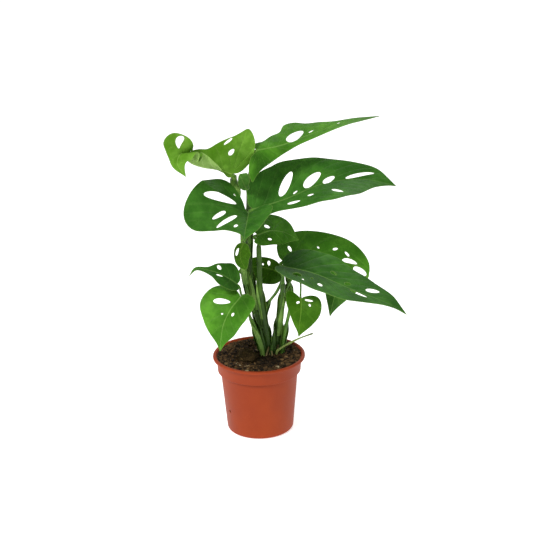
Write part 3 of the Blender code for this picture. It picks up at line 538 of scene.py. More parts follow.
class Blade:
    """The curved surface that a leaf lies on."""

    def __init__(self, leaf):
        self.leaf = leaf
        self.curve = smooth(leaf["spine"], 24)
        steps = np.linalg.norm(np.diff(self.curve, axis=0), axis=1)
        self.along = np.concatenate([[0], np.cumsum(steps)])
        self.length = self.along[-1]

    def read(self, at):
        return np.stack([np.interp(at, self.along, self.curve[:, k]) for k in range(3)], axis=1)

    def frame(self, s):
        """The midrib's points at s, its directions, the way the face looks, and the way to the left."""
        near = np.clip(s, 2, self.length - 2)
        heading = unit(self.read(near + 2) - self.read(near - 2))
        point = self.read(s) + heading * np.minimum(s, 0)[:, None]
        face = between(self.leaf["face"], s / self.length)
        face = unit(face - (face * heading).sum(axis=1, keepdims=True) * heading)
        return point, heading, face, np.cross(face, heading)

    def place(self, flat, relief):
        """Puts flat points (s, u) on the folded leaf, each raised off its surface by its relief."""
        s, u = flat[:, 0], flat[:, 1]
        point, _, face, leftward = self.frame(s)
        t = s / self.length
        fold = np.where(u >= 0, between(self.leaf["fold_left"], t), between(self.leaf["fold_right"], t))
        fold = np.radians(fold)
        side = np.where(u >= 0, 1, -1)
        rise = np.abs(u) * np.sin(fold) + self.leaf.get("lift", 0) * (np.minimum(s, 0) / LIFT_REACH) ** 2
        rise = rise + relief * np.cos(fold)
        out = u * np.cos(fold) - side * relief * np.sin(fold)
        return point + leftward * out[:, None] + face * rise[:, None]

    def spread(self, points, step):
        """The same flat run of points, placed about a step apart as they lie on the bent leaf."""
        solid = self.place(points, np.zeros(len(points)))
        gaps = np.linalg.norm(np.diff(solid, axis=0), axis=1)
        drawn = np.linalg.norm(np.diff(points, axis=0), axis=1)
        length = np.concatenate([[0], np.cumsum(np.minimum(gaps, drawn * step / LEAST_STEP))])
        count = max(2, round(length[-1] / step))
        at = np.linspace(0, length[-1], count + 1)
        return np.stack([np.interp(at, length, points[:, k]) for k in range(2)], axis=1)

    def outlines(self):
        """The leaf's margin, then the edge of each of its windows."""
        tip = (self.length, 0)
        left = self.spread(smooth([(0, 0)] + self.leaf["left"] + [tip], 16), EDGE_STEP)
        right = self.spread(smooth([(0, 0)] + self.leaf["right"] + [tip], 16), EDGE_STEP)
        loops = [np.vstack([left, right[-2:0:-1]])]
        for window in self.leaf["windows"]:
            edge = window_edge(*window)
            loops.append(self.spread(np.vstack([edge, edge[:1]]), EDGE_STEP * 0.6)[:-1])
        return loops

    def stretch(self, s, u):
        """How much longer a step along s is on the bent leaf than it is drawn."""
        near = self.place(np.array([(s - 0.5, u), (s + 0.5, u)]), np.zeros(2))
        return max(1.0, np.linalg.norm(near[1] - near[0]))


def window_edge(start, end, width):
    """A long oval between two ends, a little wider at its end nearer the midrib."""
    start, end = np.array(start, float), np.array(end, float)
    half = (end - start) / 2
    turn = np.linspace(0, 2 * math.pi, WINDOW_POINTS, endpoint=False)
    across = np.array([-half[1], half[0]]) / np.linalg.norm(half) * width / 2
    wide = 1 - WINDOW_TAPER * np.cos(turn)
    return (start + end) / 2 + np.outer(np.cos(turn), half) + np.outer(np.sin(turn) * wide, across)


def is_inside(points, loop):
    """Which points lie inside a closed loop."""
    x, y = points[:, 0][:, None], points[:, 1][:, None]
    ax, ay = loop[:, 0], loop[:, 1]
    bx, by = np.roll(ax, -1), np.roll(ay, -1)
    level = (ay > y) != (by > y)
    crossing = ax + (y - ay) * (bx - ax) / np.where(by == ay, 1e-9, by - ay)
    return (level & (x < crossing)).sum(axis=1) % 2 == 1


def is_blade(points, loops):
    """Which flat points lie on the leaf, and not in a window."""
    keep = is_inside(points, loops[0])
    for loop in loops[1:]:
        keep &= ~is_inside(points, loop)
    return keep


def edge_distance(points, loops):
    """How far each flat point lies from the nearest edge of the leaf or of a window."""
    edges = np.vstack(loops)
    return np.concatenate([np.linalg.norm(part[:, None] - edges[None], axis=2).min(axis=1)
                           for part in np.array_split(points, 1 + len(points) // 400)])


def inner_points(loops, blade):
    """Staggered rows over both halves, closer where the bend spreads them, and rows along the midrib."""
    low, high = loops[0].min(axis=0), loops[0].max(axis=0)
    found = []
    s, row = low[0], 0
    while s < high[0]:
        across = np.arange(low[1] + (row % 2) * CELL / 2, high[1], CELL)
        found += [(s, u) for u in across if abs(u) > RIB_SIDE + 0.5 * CELL]
        widest = max(blade.stretch(s, u) for u in (0.8 * low[1], 0.8 * high[1]))
        s += max(LEAST_STEP, ROW_SPACING * CELL / widest)
        row += 1
    for s in np.arange(0.6 * CELL, blade.length - 1, CELL):
        found += [(s, 0.0), (s, RIB_SIDE), (s, -RIB_SIDE)]
    found = np.array(found)
    clear = edge_distance(found, loops) > 0.45 * EDGE_STEP
    return found[is_blade(found, loops) & clear]


def flat_sheet(loops, inner):
    """Triangles over the leaf's outline, with its windows left open."""
    points, edges = [], []
    for loop in loops:
        first = len(points)
        points += [tuple(p) for p in loop]
        edges += [(first + k, first + (k + 1) % len(loop)) for k in range(len(loop))]
    points += [tuple(p) for p in inner]
    found, _, faces, _, _, _ = delaunay_2d_cdt([Vector(p) for p in points], edges, [], 0, 1e-6)
    flat = np.array([tuple(p) for p in found])
    middles = np.array([flat[list(face)].mean(axis=0) for face in faces])
    return flat, [face for face, keep in zip(faces, is_blade(middles, loops)) if keep]


def vein_count(flat, lean, length):
    """How many side veins out from the base each point lies. A whole number is on a vein."""
    s, across = flat[:, 0], np.abs(flat[:, 1])
    t = np.clip((s - 0.8 * across) / length, 0, 1)
    leaning = lean[0] + (lean[1] - lean[0]) * t
    start = s - across * leaning
    turn = np.arctan2(across, s) - math.atan2(1, lean[0])
    return np.where(start > 0, start / (VEIN_STEP * (0.8 + 0.3 * leaning)), -turn / LOBE_VEIN_TURN)


def deselect():
    bpy.ops.object.select_all(action="DESELECT")


def make_active(obj):
    deselect()
    obj.select_set(True)
    bpy.context.view_layer.objects.active = obj


def apply_modifiers(obj):
    make_active(obj)
    for modifier in list(obj.modifiers):
        bpy.ops.object.modifier_apply(modifier=modifier.name)


def smooth_shade(obj, angle):
    make_active(obj)
    bpy.ops.object.shade_smooth_by_angle(angle=math.radians(angle))


def face_outward(obj, weld=False):
    """Turns the mesh's faces outward, after it has joined points that lie together if weld is set."""
    make_active(obj)
    bpy.ops.object.mode_set(mode="EDIT")
    bpy.ops.mesh.select_all(action="SELECT")
    if weld:
        bpy.ops.mesh.remove_doubles(threshold=WELD_REACH)
    bpy.ops.mesh.normals_make_consistent(inside=False)
    bpy.ops.object.mode_set(mode="OBJECT")


def paint(obj, material):
    obj.data.materials.clear()
    obj.data.materials.append(material)


def link(name, mesh, *materials):
    obj = bpy.data.objects.new(name, mesh)
    bpy.context.scene.collection.objects.link(obj)
    for material in materials:
        mesh.materials.append(material)
    return obj


def stand_for(obj, slot, *nodes):
    """The piece rides with the part, and is shown in place of its plain solids."""
    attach(obj, "root")
    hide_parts(*nodes)


def add_reading(mesh, name, values):
    """Keeps a number for each point of the mesh, which the material reads."""
    reading = mesh.attributes.new(name, "FLOAT", "POINT")
    reading.data.foreach_set("value", np.asarray(values, np.float32))


def leaf_shade(name, flat):
    """How much painted shade each flat point of a leaf takes: 0 none, 1 deepest."""
    depth = np.zeros(len(flat))
    for s, u, reach, amount in LEAF_PAINTED_SHADE.get(name, ()):
        away = np.hypot(flat[:, 0] - s, flat[:, 1] - u) / reach
        depth = np.maximum(depth, amount * np.exp(-(away**2)))
    return depth


def turn_up(flat, faces):
    """The points that the faces use, and the faces, each turned so that it looks up."""
    used = sorted({k for face in faces for k in face})
    order = {k: n for n, k in enumerate(used)}
    turned_up = []
    for face in faces:
        a, b, c = (flat[k] for k in face[:3])
        clockwise = (b[0] - a[0]) * (c[1] - a[1]) < (b[1] - a[1]) * (c[0] - a[0])
        turned_up.append([order[k] for k in (reversed(face) if clockwise else face)])
    return flat[used], turned_up


def leaf_relief(name, blade, flat, veins, margin, rib_fade):
    """How far each point stands off the leaf: pillows between veins, a groove at the midrib and a ripple."""
    s, across = flat[:, 0], np.abs(flat[:, 1])
    pillow = 1 - (1 - 2 * np.abs(veins - np.round(veins))) ** 2
    size = min(1.0, blade.length / FULL_RELIEF_LENGTH)
    relief = QUILT * size * pillow * ease(1, 9, across) * ease(0, 6, margin) * (0.4 + 0.6 * rib_fade)
    relief -= RIB_GROOVE * size * (1 - ease(0, 2.2, across)) * rib_fade * ease(0, 4, s)
    ripple = np.sin(s * 0.16 + np.sign(flat[:, 1]) * 1.3 + len(name)) * ease(14, 44, across)
    return relief + RIPPLE * size * ripple


def thicken_leaf(obj, s, across, rib_fade):
    """Gives the blade its own underside and its thickness, which is more along the midrib near its base."""
    rib = obj.vertex_groups.new(name="rib")
    for k, (wide, fade) in enumerate(zip(across, rib_fade)):
        if wide < RIB_SIDE * 0.5 and s[k] > 2:
            rib.add([k], float(fade), "REPLACE")
    thick = obj.modifiers.new("Thickness", "SOLIDIFY")
    thick.thickness = RIB_THICKNESS * MM
    thick.offset = -1
    thick.vertex_group = "rib"
    thick.thickness_vertex_group = BLADE_THICKNESS / RIB_THICKNESS
    thick.material_offset = 1
    apply_modifiers(obj)


def build_leaf(name, leaf, finishes):
    finish, lean = LEAF_LOOKS[name]
    blade = Blade(leaf)
    loops = blade.outlines()
    flat, faces = turn_up(*flat_sheet(loops, inner_points(loops, blade)))
    s, across = flat[:, 0], np.abs(flat[:, 1])
    veins = vein_count(flat, lean, blade.length)
    margin = edge_distance(flat, loops)
    rib_fade = np.clip(1 - s / blade.length, 0, 1)
    relief = leaf_relief(name, blade, flat, veins, margin, rib_fade)
    mesh = bpy.data.meshes.new(name + "_blade")
    mesh.from_pydata([tuple(p) for p in blade.place(flat, relief) * MM], [], faces)
    add_reading(mesh, "veins", veins)
    add_reading(mesh, "across", across)
    add_reading(mesh, "margin", margin)
    add_reading(mesh, "along", np.clip(s / blade.length, 0, 1))
    # The shade reading carries the painted shade into the leaf's finish.
    add_reading(mesh, "shade", leaf_shade(name, flat))
    obj = link(name + "_blade", mesh, finishes[finish], finishes[finish + "_underside"])
    thicken_leaf(obj, s, across, rib_fade)
    smooth_shade(obj, 60)
    stand_for(obj, "young_leaf" if name in YOUNG_LEAVES else "leaf", name)


def stalk_end(stalk):
    """The end of a stalk, points with a radius: it comes up below its leaf and fades into the midrib."""
    leaf, radius = LEAVES[stalk["leaf"]], stalk["radii"][1]
    meets = stalk.get("meets", STALK_MEETS)
    blade = Blade(leaf)
    point, heading, face, leftward = blade.frame(np.array(meets))
    if stalk.get("notch"):
        return [(*point[0], radius)]
    turn = math.radians(leaf["fold_left"][0] - leaf["fold_right"][0]) / 2
    drop = (leftward * math.sin(turn) - face * math.cos(turn)) * (radius + BLADE_THICKNESS + STALK_SEAT)
    ends = [(*spot, radius) for spot in point + drop]
    last, _, face, _ = blade.frame(np.array([min(meets[-1] + RUN_OUT, 0.5 * blade.length)]))
    return ends + [(*(last[0] - face[0] * RUN_OUT_DEPTH), RUN_OUT_RADIUS)]


def rooted(path):
    """The path with its foot carried straight down into the soil."""
    foot, above = np.array(path[0], float), np.array(path[1], float)
    return [tuple(foot + unit(foot - above) * STEM_SINK)] + list(path)


def with_radii(path, radii):
    """The path's points with a radius for each, even from the first to the last."""
    return [(*p, r) for p, r in zip(path, np.linspace(*radii, len(path)))]


def tube(name, path, material, knots=(), swell=0.0):
    """A stem along points (x, y, z, radius), with a ring at each knot's height and a swollen foot."""
    run = even(smooth(path, 12), TUBE_STEP)
    height = run[:, 2]
    radius = run[:, 3] * (1 + swell * np.exp(-(((height - POT_HEIGHT) / SWELL_REACH) ** 2)))
    for knot in knots:
        radius *= 1 + KNOT_RISE * np.exp(-(((height - knot) / KNOT_REACH) ** 2))
    curve = bpy.data.curves.new(name, "CURVE")
    curve.dimensions = "3D"
    curve.bevel_depth = MM
    curve.bevel_resolution = 4
    curve.use_fill_caps = True
    spline = curve.splines.new("POLY")
    spline.points.add(len(run) - 1)
    for spot, point, wide in zip(spline.points, run, radius):
        spot.co = (*(point[:3] * MM), 1)
        spot.radius = wide
    holder = bpy.data.objects.new(name, curve)
    bpy.context.scene.collection.objects.link(holder)
    make_active(holder)
    bpy.ops.object.convert(target="MESH")
    obj = bpy.context.view_layer.objects.active
    face_outward(obj, weld=True)
    paint(obj, material)
    for v in obj.data.vertices:
        wobble = noise.noise(Vector((v.co.x * 90, v.co.y * 90, v.co.z * 28)))
        v.co += v.normal * wobble * STEM_WOBBLE * MM
    return obj


def sheath(name, path, low, high, turn, spread, flare, material):
    """A thin sheath that clasps a stalk between two heights, open in front, and ends in a pointed lip.

    Turn is the way that its back faces: 0 right, 90 to the viewer, 180 left.
    """
    run = smooth(path, 12)
    rise = np.maximum.accumulate(run[:, 2])
    rows = max(8, round((high - low) / SHEATH_ROW))
    at = np.linspace(low, high, rows)
    spots = np.stack([np.interp(at, rise, run[:, k]) for k in range(4)], axis=1)
    headings = unit(np.gradient(spots[:, :3], axis=0))
    verts, edge = [], []
    for row, (spot, heading) in enumerate(zip(spots, headings)):
        t = row / (rows - 1)
        sideways = unit(np.cross(heading, (0, -1, 0)))
        forward = np.cross(sideways, heading)
        half = math.radians(spread) * (1 - ease(0.35, 1.0, t)) + 0.05
        out = spot[3] + SHEATH_CLEARANCE + flare * ease(0.0, 0.5, t) * (1 - 0.5 * ease(0.75, 1.0, t))
        for column in range(SHEATH_COLUMNS):
            side = 2 * column / (SHEATH_COLUMNS - 1) - 1
            angle = math.radians(turn) + half * side
            push = sideways * math.cos(angle) + forward * math.sin(angle)
            verts.append(tuple((spot[:3] + push * (out + 0.9 * abs(side) ** 4)) * MM))
            edge.append((1 - abs(side)) * half * out)
    starts = [row * SHEATH_COLUMNS for row in range(rows - 1)]
    corners = [start + column for start in starts for column in range(SHEATH_COLUMNS - 1)]
    faces = [(k, k + 1, k + SHEATH_COLUMNS + 1, k + SHEATH_COLUMNS) for k in corners]
    mesh = bpy.data.meshes.new(name)
    mesh.from_pydata(verts, [], faces)
    add_reading(mesh, "margin", edge)
    obj = link(name, mesh, material)
    face_outward(obj)
    thick = obj.modifiers.new("Thickness", "SOLIDIFY")
    thick.thickness = SHEATH_THICKNESS * MM
    thick.offset = 0
    apply_modifiers(obj)
    smooth_shade(obj, 60)
    return obj


def join(first, *others):
    """Joins pieces of one stem into the first of them."""
    deselect()
    for obj in (first, *others):
        obj.select_set(True)
    bpy.context.view_layer.objects.active = first
    bpy.ops.object.join()
    return first


def stalk_path(stalk):
    return with_radii(stalk["path"], stalk["radii"]) + stalk_end(stalk)


def build_stems(finishes):
    for name, stem in STEMS.items():
        path = with_radii(rooted(stem["path"]), stem["radii"])
        if "leaf" in stem:
            path = path + stalk_end(stem)
        else:
            x, y, z, radius = path[-1]
            path = path + [(x, y, z + 2.5, 0.85 * radius), (x, y, z + 6, 0.5 * radius)]
        skin = finishes["stalk" if "leaf" in stem else "stem"]
        parts = [tube(name + "_growth", path, skin, KNOTS.get(name, ()), SWELLS.get(name, 0.0))]
        for k, stalk in enumerate(stem["stalks"]):
            parts.append(tube(f"{name}_stalk_{k}", stalk_path(stalk), finishes["stalk"]))
        for k, (which, *shape) in enumerate(SHEATHS.get(name, ())):
            along = path if which < 0 else stalk_path(stem["stalks"][which])
            # Sheaths facing the viewer take the paler finish, a painted highlight.
            finish = "highlit_sheath" if shape[2] < 180 else "sheath"
            parts.append(sheath(f"{name}_sheath_{k}", along, *shape, finishes[finish]))
        for k, bud in enumerate(BUDS.get(name, ())):
            parts.append(tube(f"{name}_bud_{k}", bud, finishes["stem"]))
        for k, root in enumerate(ROOTS.get(name, ())):
            parts.append(tube(f"{name}_root_{k}", root, finishes["root"]))
        growth = join(*parts)
        smooth_shade(growth, 60)
        stand_for(growth, "stem", name)


def build_dry_stub(finishes):
    radii = [share * radius for share, radius in zip(DRY_STUB_SHRINK, DRY_STUB_RADII)]
    path = with_radii(rooted(DRY_STUB_PATH), radii)
    stub = tube("dry_stub_growth", path, finishes["dry_stub"], DRY_STUB_KNOTS)
    smooth_shade(stub, 60)
    stand_for(stub, "dry_stalk", "dry_leaf_stub")


def ring_stack(name, rings, sides):
    """A round wall: a circle, extruded and resized ring by ring from its foot, closed at both ends."""
    deselect()
    radius, height = rings[0]
    bpy.ops.mesh.primitive_circle_add(vertices=sides, radius=radius * MM, fill_type="NOTHING",
                                      location=(0, 0, height * MM))
    obj = bpy.context.view_layer.objects.active
    obj.name = obj.data.name = name
    bpy.ops.object.transform_apply(location=True, rotation=True, scale=True)
    bpy.ops.object.mode_set(mode="EDIT")
    bpy.ops.mesh.select_all(action="SELECT")
    for next_radius, next_height in rings[1:]:
        step = {"value": (0, 0, (next_height - height) * MM)}
        bpy.ops.mesh.extrude_region_move(TRANSFORM_OT_translate=step)
        grow = next_radius / radius
        bpy.ops.transform.resize(value=(grow, grow, 1), center_override=(0, 0, 0))
        radius, height = next_radius, next_height
    bpy.ops.mesh.edge_face_add()
    bpy.ops.mesh.select_all(action="DESELECT")
    bpy.ops.object.mode_set(mode="OBJECT")
    for v in obj.data.vertices[:sides]:
        v.select = True
    bpy.ops.object.mode_set(mode="EDIT")
    bpy.ops.mesh.select_mode(type="VERT")
    bpy.ops.mesh.edge_face_add()
    bpy.ops.mesh.select_all(action="SELECT")
    bpy.ops.mesh.normals_make_consistent(inside=False)
    bpy.ops.object.mode_set(mode="OBJECT")
    return obj


def arc(centre, radius, start, end, count):
    """Points of an arc, from one angle to another in degrees."""
    turn = np.radians(np.linspace(start, end, count))
    return [(centre[0] + radius * math.cos(a), centre[1] + radius * math.sin(a)) for a in turn]


def pot_rings():
    """Radius and height of the pot's wall: under its foot, up the outside, over the lip, down the inside."""
    under = POT_HEIGHT - RIM_DEPTH
    crease = COLLAR_FOOT_Z - CREASE_DROP
    rings = [(FOOT_RADIUS - 6.5, FOOT_RECESS), (FOOT_RADIUS - 5.5, 0)]
    rings += arc((FOOT_RADIUS - FOOT_CURVE, FOOT_CURVE), FOOT_CURVE, -88, 0, 9)
    rings += [(BODY_TOP_RADIUS - 0.1, crease)]
    rings += arc((BODY_TOP_RADIUS + CREASE_CURVE, crease), CREASE_CURVE, 180, 90, 4)
    rings += arc((COLLAR_FOOT_RADIUS - COLLAR_CURVE, COLLAR_FOOT_Z + COLLAR_CURVE), COLLAR_CURVE, -90, 0, 5)
    rings += [(COLLAR_TOP_RADIUS, under - UNDERLIP_CURVE)]
    rings += arc((COLLAR_TOP_RADIUS + UNDERLIP_CURVE, under - UNDERLIP_CURVE), UNDERLIP_CURVE, 180, 90, 3)
    rings += arc((RIM_RADIUS - LIP_EDGE_CURVE, under + LIP_EDGE_CURVE), LIP_EDGE_CURVE, -80, 0, 4)
    rings += arc((RIM_RADIUS - LIP_CURVE, POT_HEIGHT - LIP_CURVE), LIP_CURVE, 0, 90, 7)
    rings += arc((RIM_INNER_RADIUS + LIP_EDGE_CURVE, POT_HEIGHT - LIP_EDGE_CURVE), LIP_EDGE_CURVE, 90, 180, 4)
    rings += [(RIM_INNER_RADIUS - 0.9, POT_HEIGHT - 1.7), (COLLAR_TOP_RADIUS - POT_WALL, FLARE_FOOT_Z)]
    rings += [(COLLAR_FOOT_RADIUS - POT_WALL, COLLAR_FOOT_Z + POT_WALL + 0.8)]
    rings += [(BODY_TOP_RADIUS - POT_WALL, COLLAR_FOOT_Z + POT_WALL)]
    rings += [(FOOT_INNER_RADIUS, POT_FLOOR)]
    return rings


def drill(obj, name, radius, place, turn):
    """Takes a round hole out of a piece."""
    deselect()
    bpy.ops.mesh.primitive_cylinder_add(vertices=24, radius=radius * MM, depth=DRILL_LENGTH * MM,
                                        location=place, rotation=turn)
    cutter = bpy.context.view_layer.objects.active
    cutter.name = name
    hole = obj.modifiers.new(name, "BOOLEAN")
    hole.operation = "DIFFERENCE"
    hole.object = cutter
    hole.solver = "EXACT"
    apply_modifiers(obj)
    bpy.data.objects.remove(cutter)


def build_pot(finishes):
    pot = ring_stack("nursery_pot", pot_rings(), POT_SIDES)
    for k in range(DRAIN_HOLES):
        turn = 2 * math.pi * k / DRAIN_HOLES
        place = (DRAIN_RING * MM * math.cos(turn), DRAIN_RING * MM * math.sin(turn), 0)
        drill(pot, f"drain_{k}", DRAIN_RADIUS, place, (0, 0, 0))
    turn = math.radians(WEEP_ANGLE)
    wall = FOOT_RADIUS + (BODY_TOP_RADIUS - FOOT_RADIUS) * WEEP_Z / COLLAR_FOOT_Z
    place = (wall * MM * math.cos(turn), wall * MM * math.sin(turn), WEEP_Z * MM)
    drill(pot, "weep", WEEP_RADIUS, place, (0, math.pi / 2, turn))
    paint(pot, finishes["terracotta_plastic"])
    smooth_shade(pot, 35)
    stand_for(pot, "pot", "pot")


def soil_height(x, y):
    """The peat's surface: a low mound round the stems, lumps, and a fine crumbly grain."""
    away = (x - MOUND_CENTRE[0]) ** 2 + (y - MOUND_CENTRE[1]) ** 2
    mound = math.exp(-away / MOUND_REACH**2)
    lumps = math.sin(x * 0.31 + 1) * math.cos(y * 0.27) + 0.6 * math.sin(x * 0.17 - y * 0.36 + 2)
    spot = Vector((x, y, 0))
    grain = 1.5 * noise.noise(spot * 0.22) + 1.0 * noise.noise(spot * 0.55) + 0.7 * noise.noise(spot * 1.3)
    fade = max(0.0, 1 - (math.hypot(x, y) / SOIL_RADIUS) ** 8)
    return SOIL_EDGE_Z + (SOIL_CROWN_Z - SOIL_EDGE_Z) * mound + (0.8 * lumps + grain) * (0.2 + 0.8 * fade)


def build_soil(finishes):
    rings = [(FOOT_INNER_RADIUS - SOIL_GAP, POT_FLOOR + SOIL_GAP)]
    rings += [(BODY_TOP_RADIUS - POT_WALL - SOIL_GAP, COLLAR_FOOT_Z + 2.3)]
    rings += [(COLLAR_FOOT_RADIUS - POT_WALL - SOIL_GAP, COLLAR_FOOT_Z + 3)]
    rings += [(COLLAR_TOP_RADIUS - POT_WALL - SOIL_GAP, FLARE_FOOT_Z)]
    rings += [(SOIL_RADIUS * (1 - k / SOIL_RINGS), SOIL_EDGE_Z) for k in range(SOIL_RINGS)]
    soil = ring_stack("peat_bed", rings, SOIL_SIDES)
    for v in soil.data.vertices:
        if v.co.z > (SOIL_EDGE_Z - 1) * MM:
            v.co.z = soil_height(v.co.x / MM, v.co.y / MM) * MM
    paint(soil, finishes["peat"])
    smooth_shade(soil, 50)
    stand_for(soil, "soil", "soil")


def unit_crumb(kind):
    """One of a few lumpy grains, about one unit across, as points and faces."""
    deselect()
    bpy.ops.mesh.primitive_ico_sphere_add(subdivisions=2, radius=1)
    obj = bpy.context.view_layer.objects.active
    points = []
    for v in obj.data.vertices:
        bump = 1 + 0.45 * noise.noise(v.co * 1.7 + Vector((kind * 7.3, kind, 0)))
        points.append(tuple(v.co * bump))
    faces = [tuple(p.vertices) for p in obj.data.polygons]
    bpy.data.objects.remove(obj)
    return np.array(points), np.array(faces)


def random_spot(draw, margin):
    """A place on the soil, at least this far in from its edge."""
    reach = (SOIL_RADIUS - margin) * math.sqrt(draw.random())
    turn = draw.random() * 2 * math.pi
    return reach * math.cos(turn), reach * math.sin(turn)


def random_spin(draw, turn, tilt, axis):
    """A turn about the upright, after a small random tilt about another axis."""
    return np.array(Matrix.Rotation(turn, 3, "Z") @ Matrix.Rotation(draw.normal() * tilt, 3, axis))


def build_crumbs(finishes):
    """Loose grains of peat, bark and pale grit, scattered over the soil and half sunk in it."""
    draw = np.random.default_rng(CRUMB_SEED)
    kinds = [unit_crumb(kind) for kind in range(4)]
    points, faces, tones = [], [], []

    def lay(kind, stretch, spin, spot, tone):
        shape, corners = kind
        faces.append(corners + sum(map(len, points)))
        points.append(((shape * stretch) @ spin.T + spot) * MM)
        tones.append(np.full(len(shape), tone))

    for k in range(CRUMBS):
        x, y = random_spot(draw, CRUMB_MARGIN)
        size = CRUMB_LEAST + CRUMB_SPAN * draw.random() ** 3
        tone = draw.random()
        stretch = np.array([1 + draw.random(), 0.7 + 0.5 * draw.random(), 0.5 + 0.4 * draw.random()]) * size
        spin = random_spin(draw, draw.random() * 2 * math.pi, 0.4, "X")
        lay(kinds[k % len(kinds)], stretch, spin, (x, y, soil_height(x, y) + 0.25 * size), tone)
    for _ in range(FIBRES):
        x, y = random_spot(draw, FIBRE_MARGIN)
        heading = draw.random() * 2 * math.pi
        long = FIBRE_LEAST + FIBRE_SPAN * draw.random()
        spin = random_spin(draw, heading, 0.15, "Y")
        tone = 0.80 + 0.1 * draw.random()
        stretch = np.array([long / 2, *FIBRE_SECTION])
        lay(kinds[0], stretch, spin, (x, y, soil_height(x, y) + FIBRE_LIFT), tone)
    mesh = bpy.data.meshes.new("peat_crumbs")
    corners = [tuple(map(int, face)) for face in np.vstack(faces)]
    mesh.from_pydata([tuple(p) for p in np.vstack(points)], [], corners)
    add_reading(mesh, "tone", np.concatenate(tones))
    crumbs = link("peat_crumbs", mesh, finishes["peat_grit"])
    smooth_shade(crumbs, 50)
    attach(crumbs, "root")


def build_clod(finishes):
    """The pressed lump of peat on the soil at the left of the stems."""
    deselect()
    bpy.ops.mesh.primitive_ico_sphere_add(subdivisions=5, radius=1)
    clod = bpy.context.view_layer.objects.active
    clod.name = clod.data.name = "peat_lump"
    for v in clod.data.vertices:
        push = 1 + 0.12 * math.sin(5 * v.co.x + 2) * math.cos(4 * v.co.y) + 0.08 * math.sin(7 * v.co.z)
        push += 0.10 * noise.noise(v.co * 3.1) - 0.14 * abs(noise.noise(v.co * 2.2)) + 0.03
        push += 0.12 * noise.noise(v.co * 7.0) + 0.07 * noise.noise(v.co * 17.0)
        v.co = Vector([CLOD_CENTRE[k] + v.co[k] * CLOD_SIZE[k] * push for k in range(3)]) * MM
    paint(clod, finishes["peat_lump"])
    smooth_shade(clod, 60)
    stand_for(clod, "soil", "peat_clod")


def colour(*screen):
    """A colour given as on a screen, 0 to 255, made linear."""
    return (*((c / 255 / 12.92) if c <= 10 else ((c / 255 + 0.055) / 1.055) ** 2.4 for c in screen), 1)


def colours(*given):
    return [colour(*screen) for screen in given]


class Nodes:
    """Lays out a node tree in a few plain calls."""

    def __init__(self, tree):
        self.tree = tree

    def add(self, kind, inputs=(), **settings):
        node = self.tree.nodes.new(kind)
        for key, value in settings.items():
            setattr(node, key, value)
        for key, value in dict(inputs).items():
            self.feed(node, key, value)
        return node

    def feed(self, node, key, value):
        socket = node.inputs[key]
        if isinstance(value, bpy.types.NodeSocket):
            self.tree.links.new(value, socket)
        else:
            socket.default_value = value

    def math(self, operation, *values):
        node = self.add("ShaderNodeMath", operation=operation)
        for k, value in enumerate(values):
            self.feed(node, k, value)
        return node.outputs[0]

    def times(self, first, second):
        return self.math("MULTIPLY", first, second)

    def plus(self, first, second):
        return self.math("ADD", first, second)

    def ramp(self, value, low, high, out_low=0.0, out_high=1.0):
        """Spreads value from low..high over out_low..out_high, smoothly and held at both ends."""
        node = self.add("ShaderNodeMapRange", interpolation_type="SMOOTHSTEP")
        keys = ("Value", "From Min", "From Max", "To Min", "To Max")
        for key, given in zip(keys, (value, low, high, out_low, out_high)):
            self.feed(node, key, given)
        return node.outputs[0]

    def blend(self, amount, first, second, how="MIX"):
        node = self.add("ShaderNodeMix", data_type="RGBA", blend_type=how)
        self.feed(node, 0, amount)
        self.feed(node, 6, first)
        self.feed(node, 7, second)
        return node.outputs[2]

    def noise(self, where, scale, detail=3.0, roughness=0.55):
        inputs = {"Vector": where, "Scale": scale, "Detail": detail, "Roughness": roughness}
        return self.add("ShaderNodeTexNoise", inputs).outputs["Fac"]

    def reading(self, name):
        return self.add("ShaderNodeAttribute", attribute_name=name).outputs["Fac"]

    def bump(self, strength, distance, height):
        inputs = {"Strength": strength, "Distance": distance, "Height": height}
        return self.add("ShaderNodeBump", inputs).outputs["Normal"]

    def skin(self, shader, base, rough, gleam, normal):
        """Feeds a material's surface: its colour, its roughness, how strongly it mirrors, and its relief."""
        self.feed(shader, "Base Color", base)
        self.feed(shader, "Roughness", rough)
        self.feed(shader, "Specular IOR Level", gleam)
        self.feed(shader, "Normal", normal)

    def pass_light(self, shader, share, glow):
        """Mixes a share of the light that passes through into the surface."""
        mixed = self.add("ShaderNodeMixShader", {0: share, 1: shader.outputs[0], 2: glow.outputs[0]})
        self.feed(self.tree.nodes["Material Output"], "Surface", mixed.outputs[0])


def new_group(name, inputs, outputs):
    """An empty node group with the named inputs and outputs."""
    group = bpy.data.node_groups.new(name, "ShaderNodeTree")
    for label, kind, value in inputs:
        socket = group.interface.new_socket(label, in_out="INPUT", socket_type=kind)
        if value is not None:
            socket.default_value = value
    for label, kind in outputs:
        group.interface.new_socket(label, in_out="OUTPUT", socket_type=kind)
    nodes = Nodes(group)
    return group, nodes, nodes.add("NodeGroupInput").outputs, nodes.add("NodeGroupOutput")


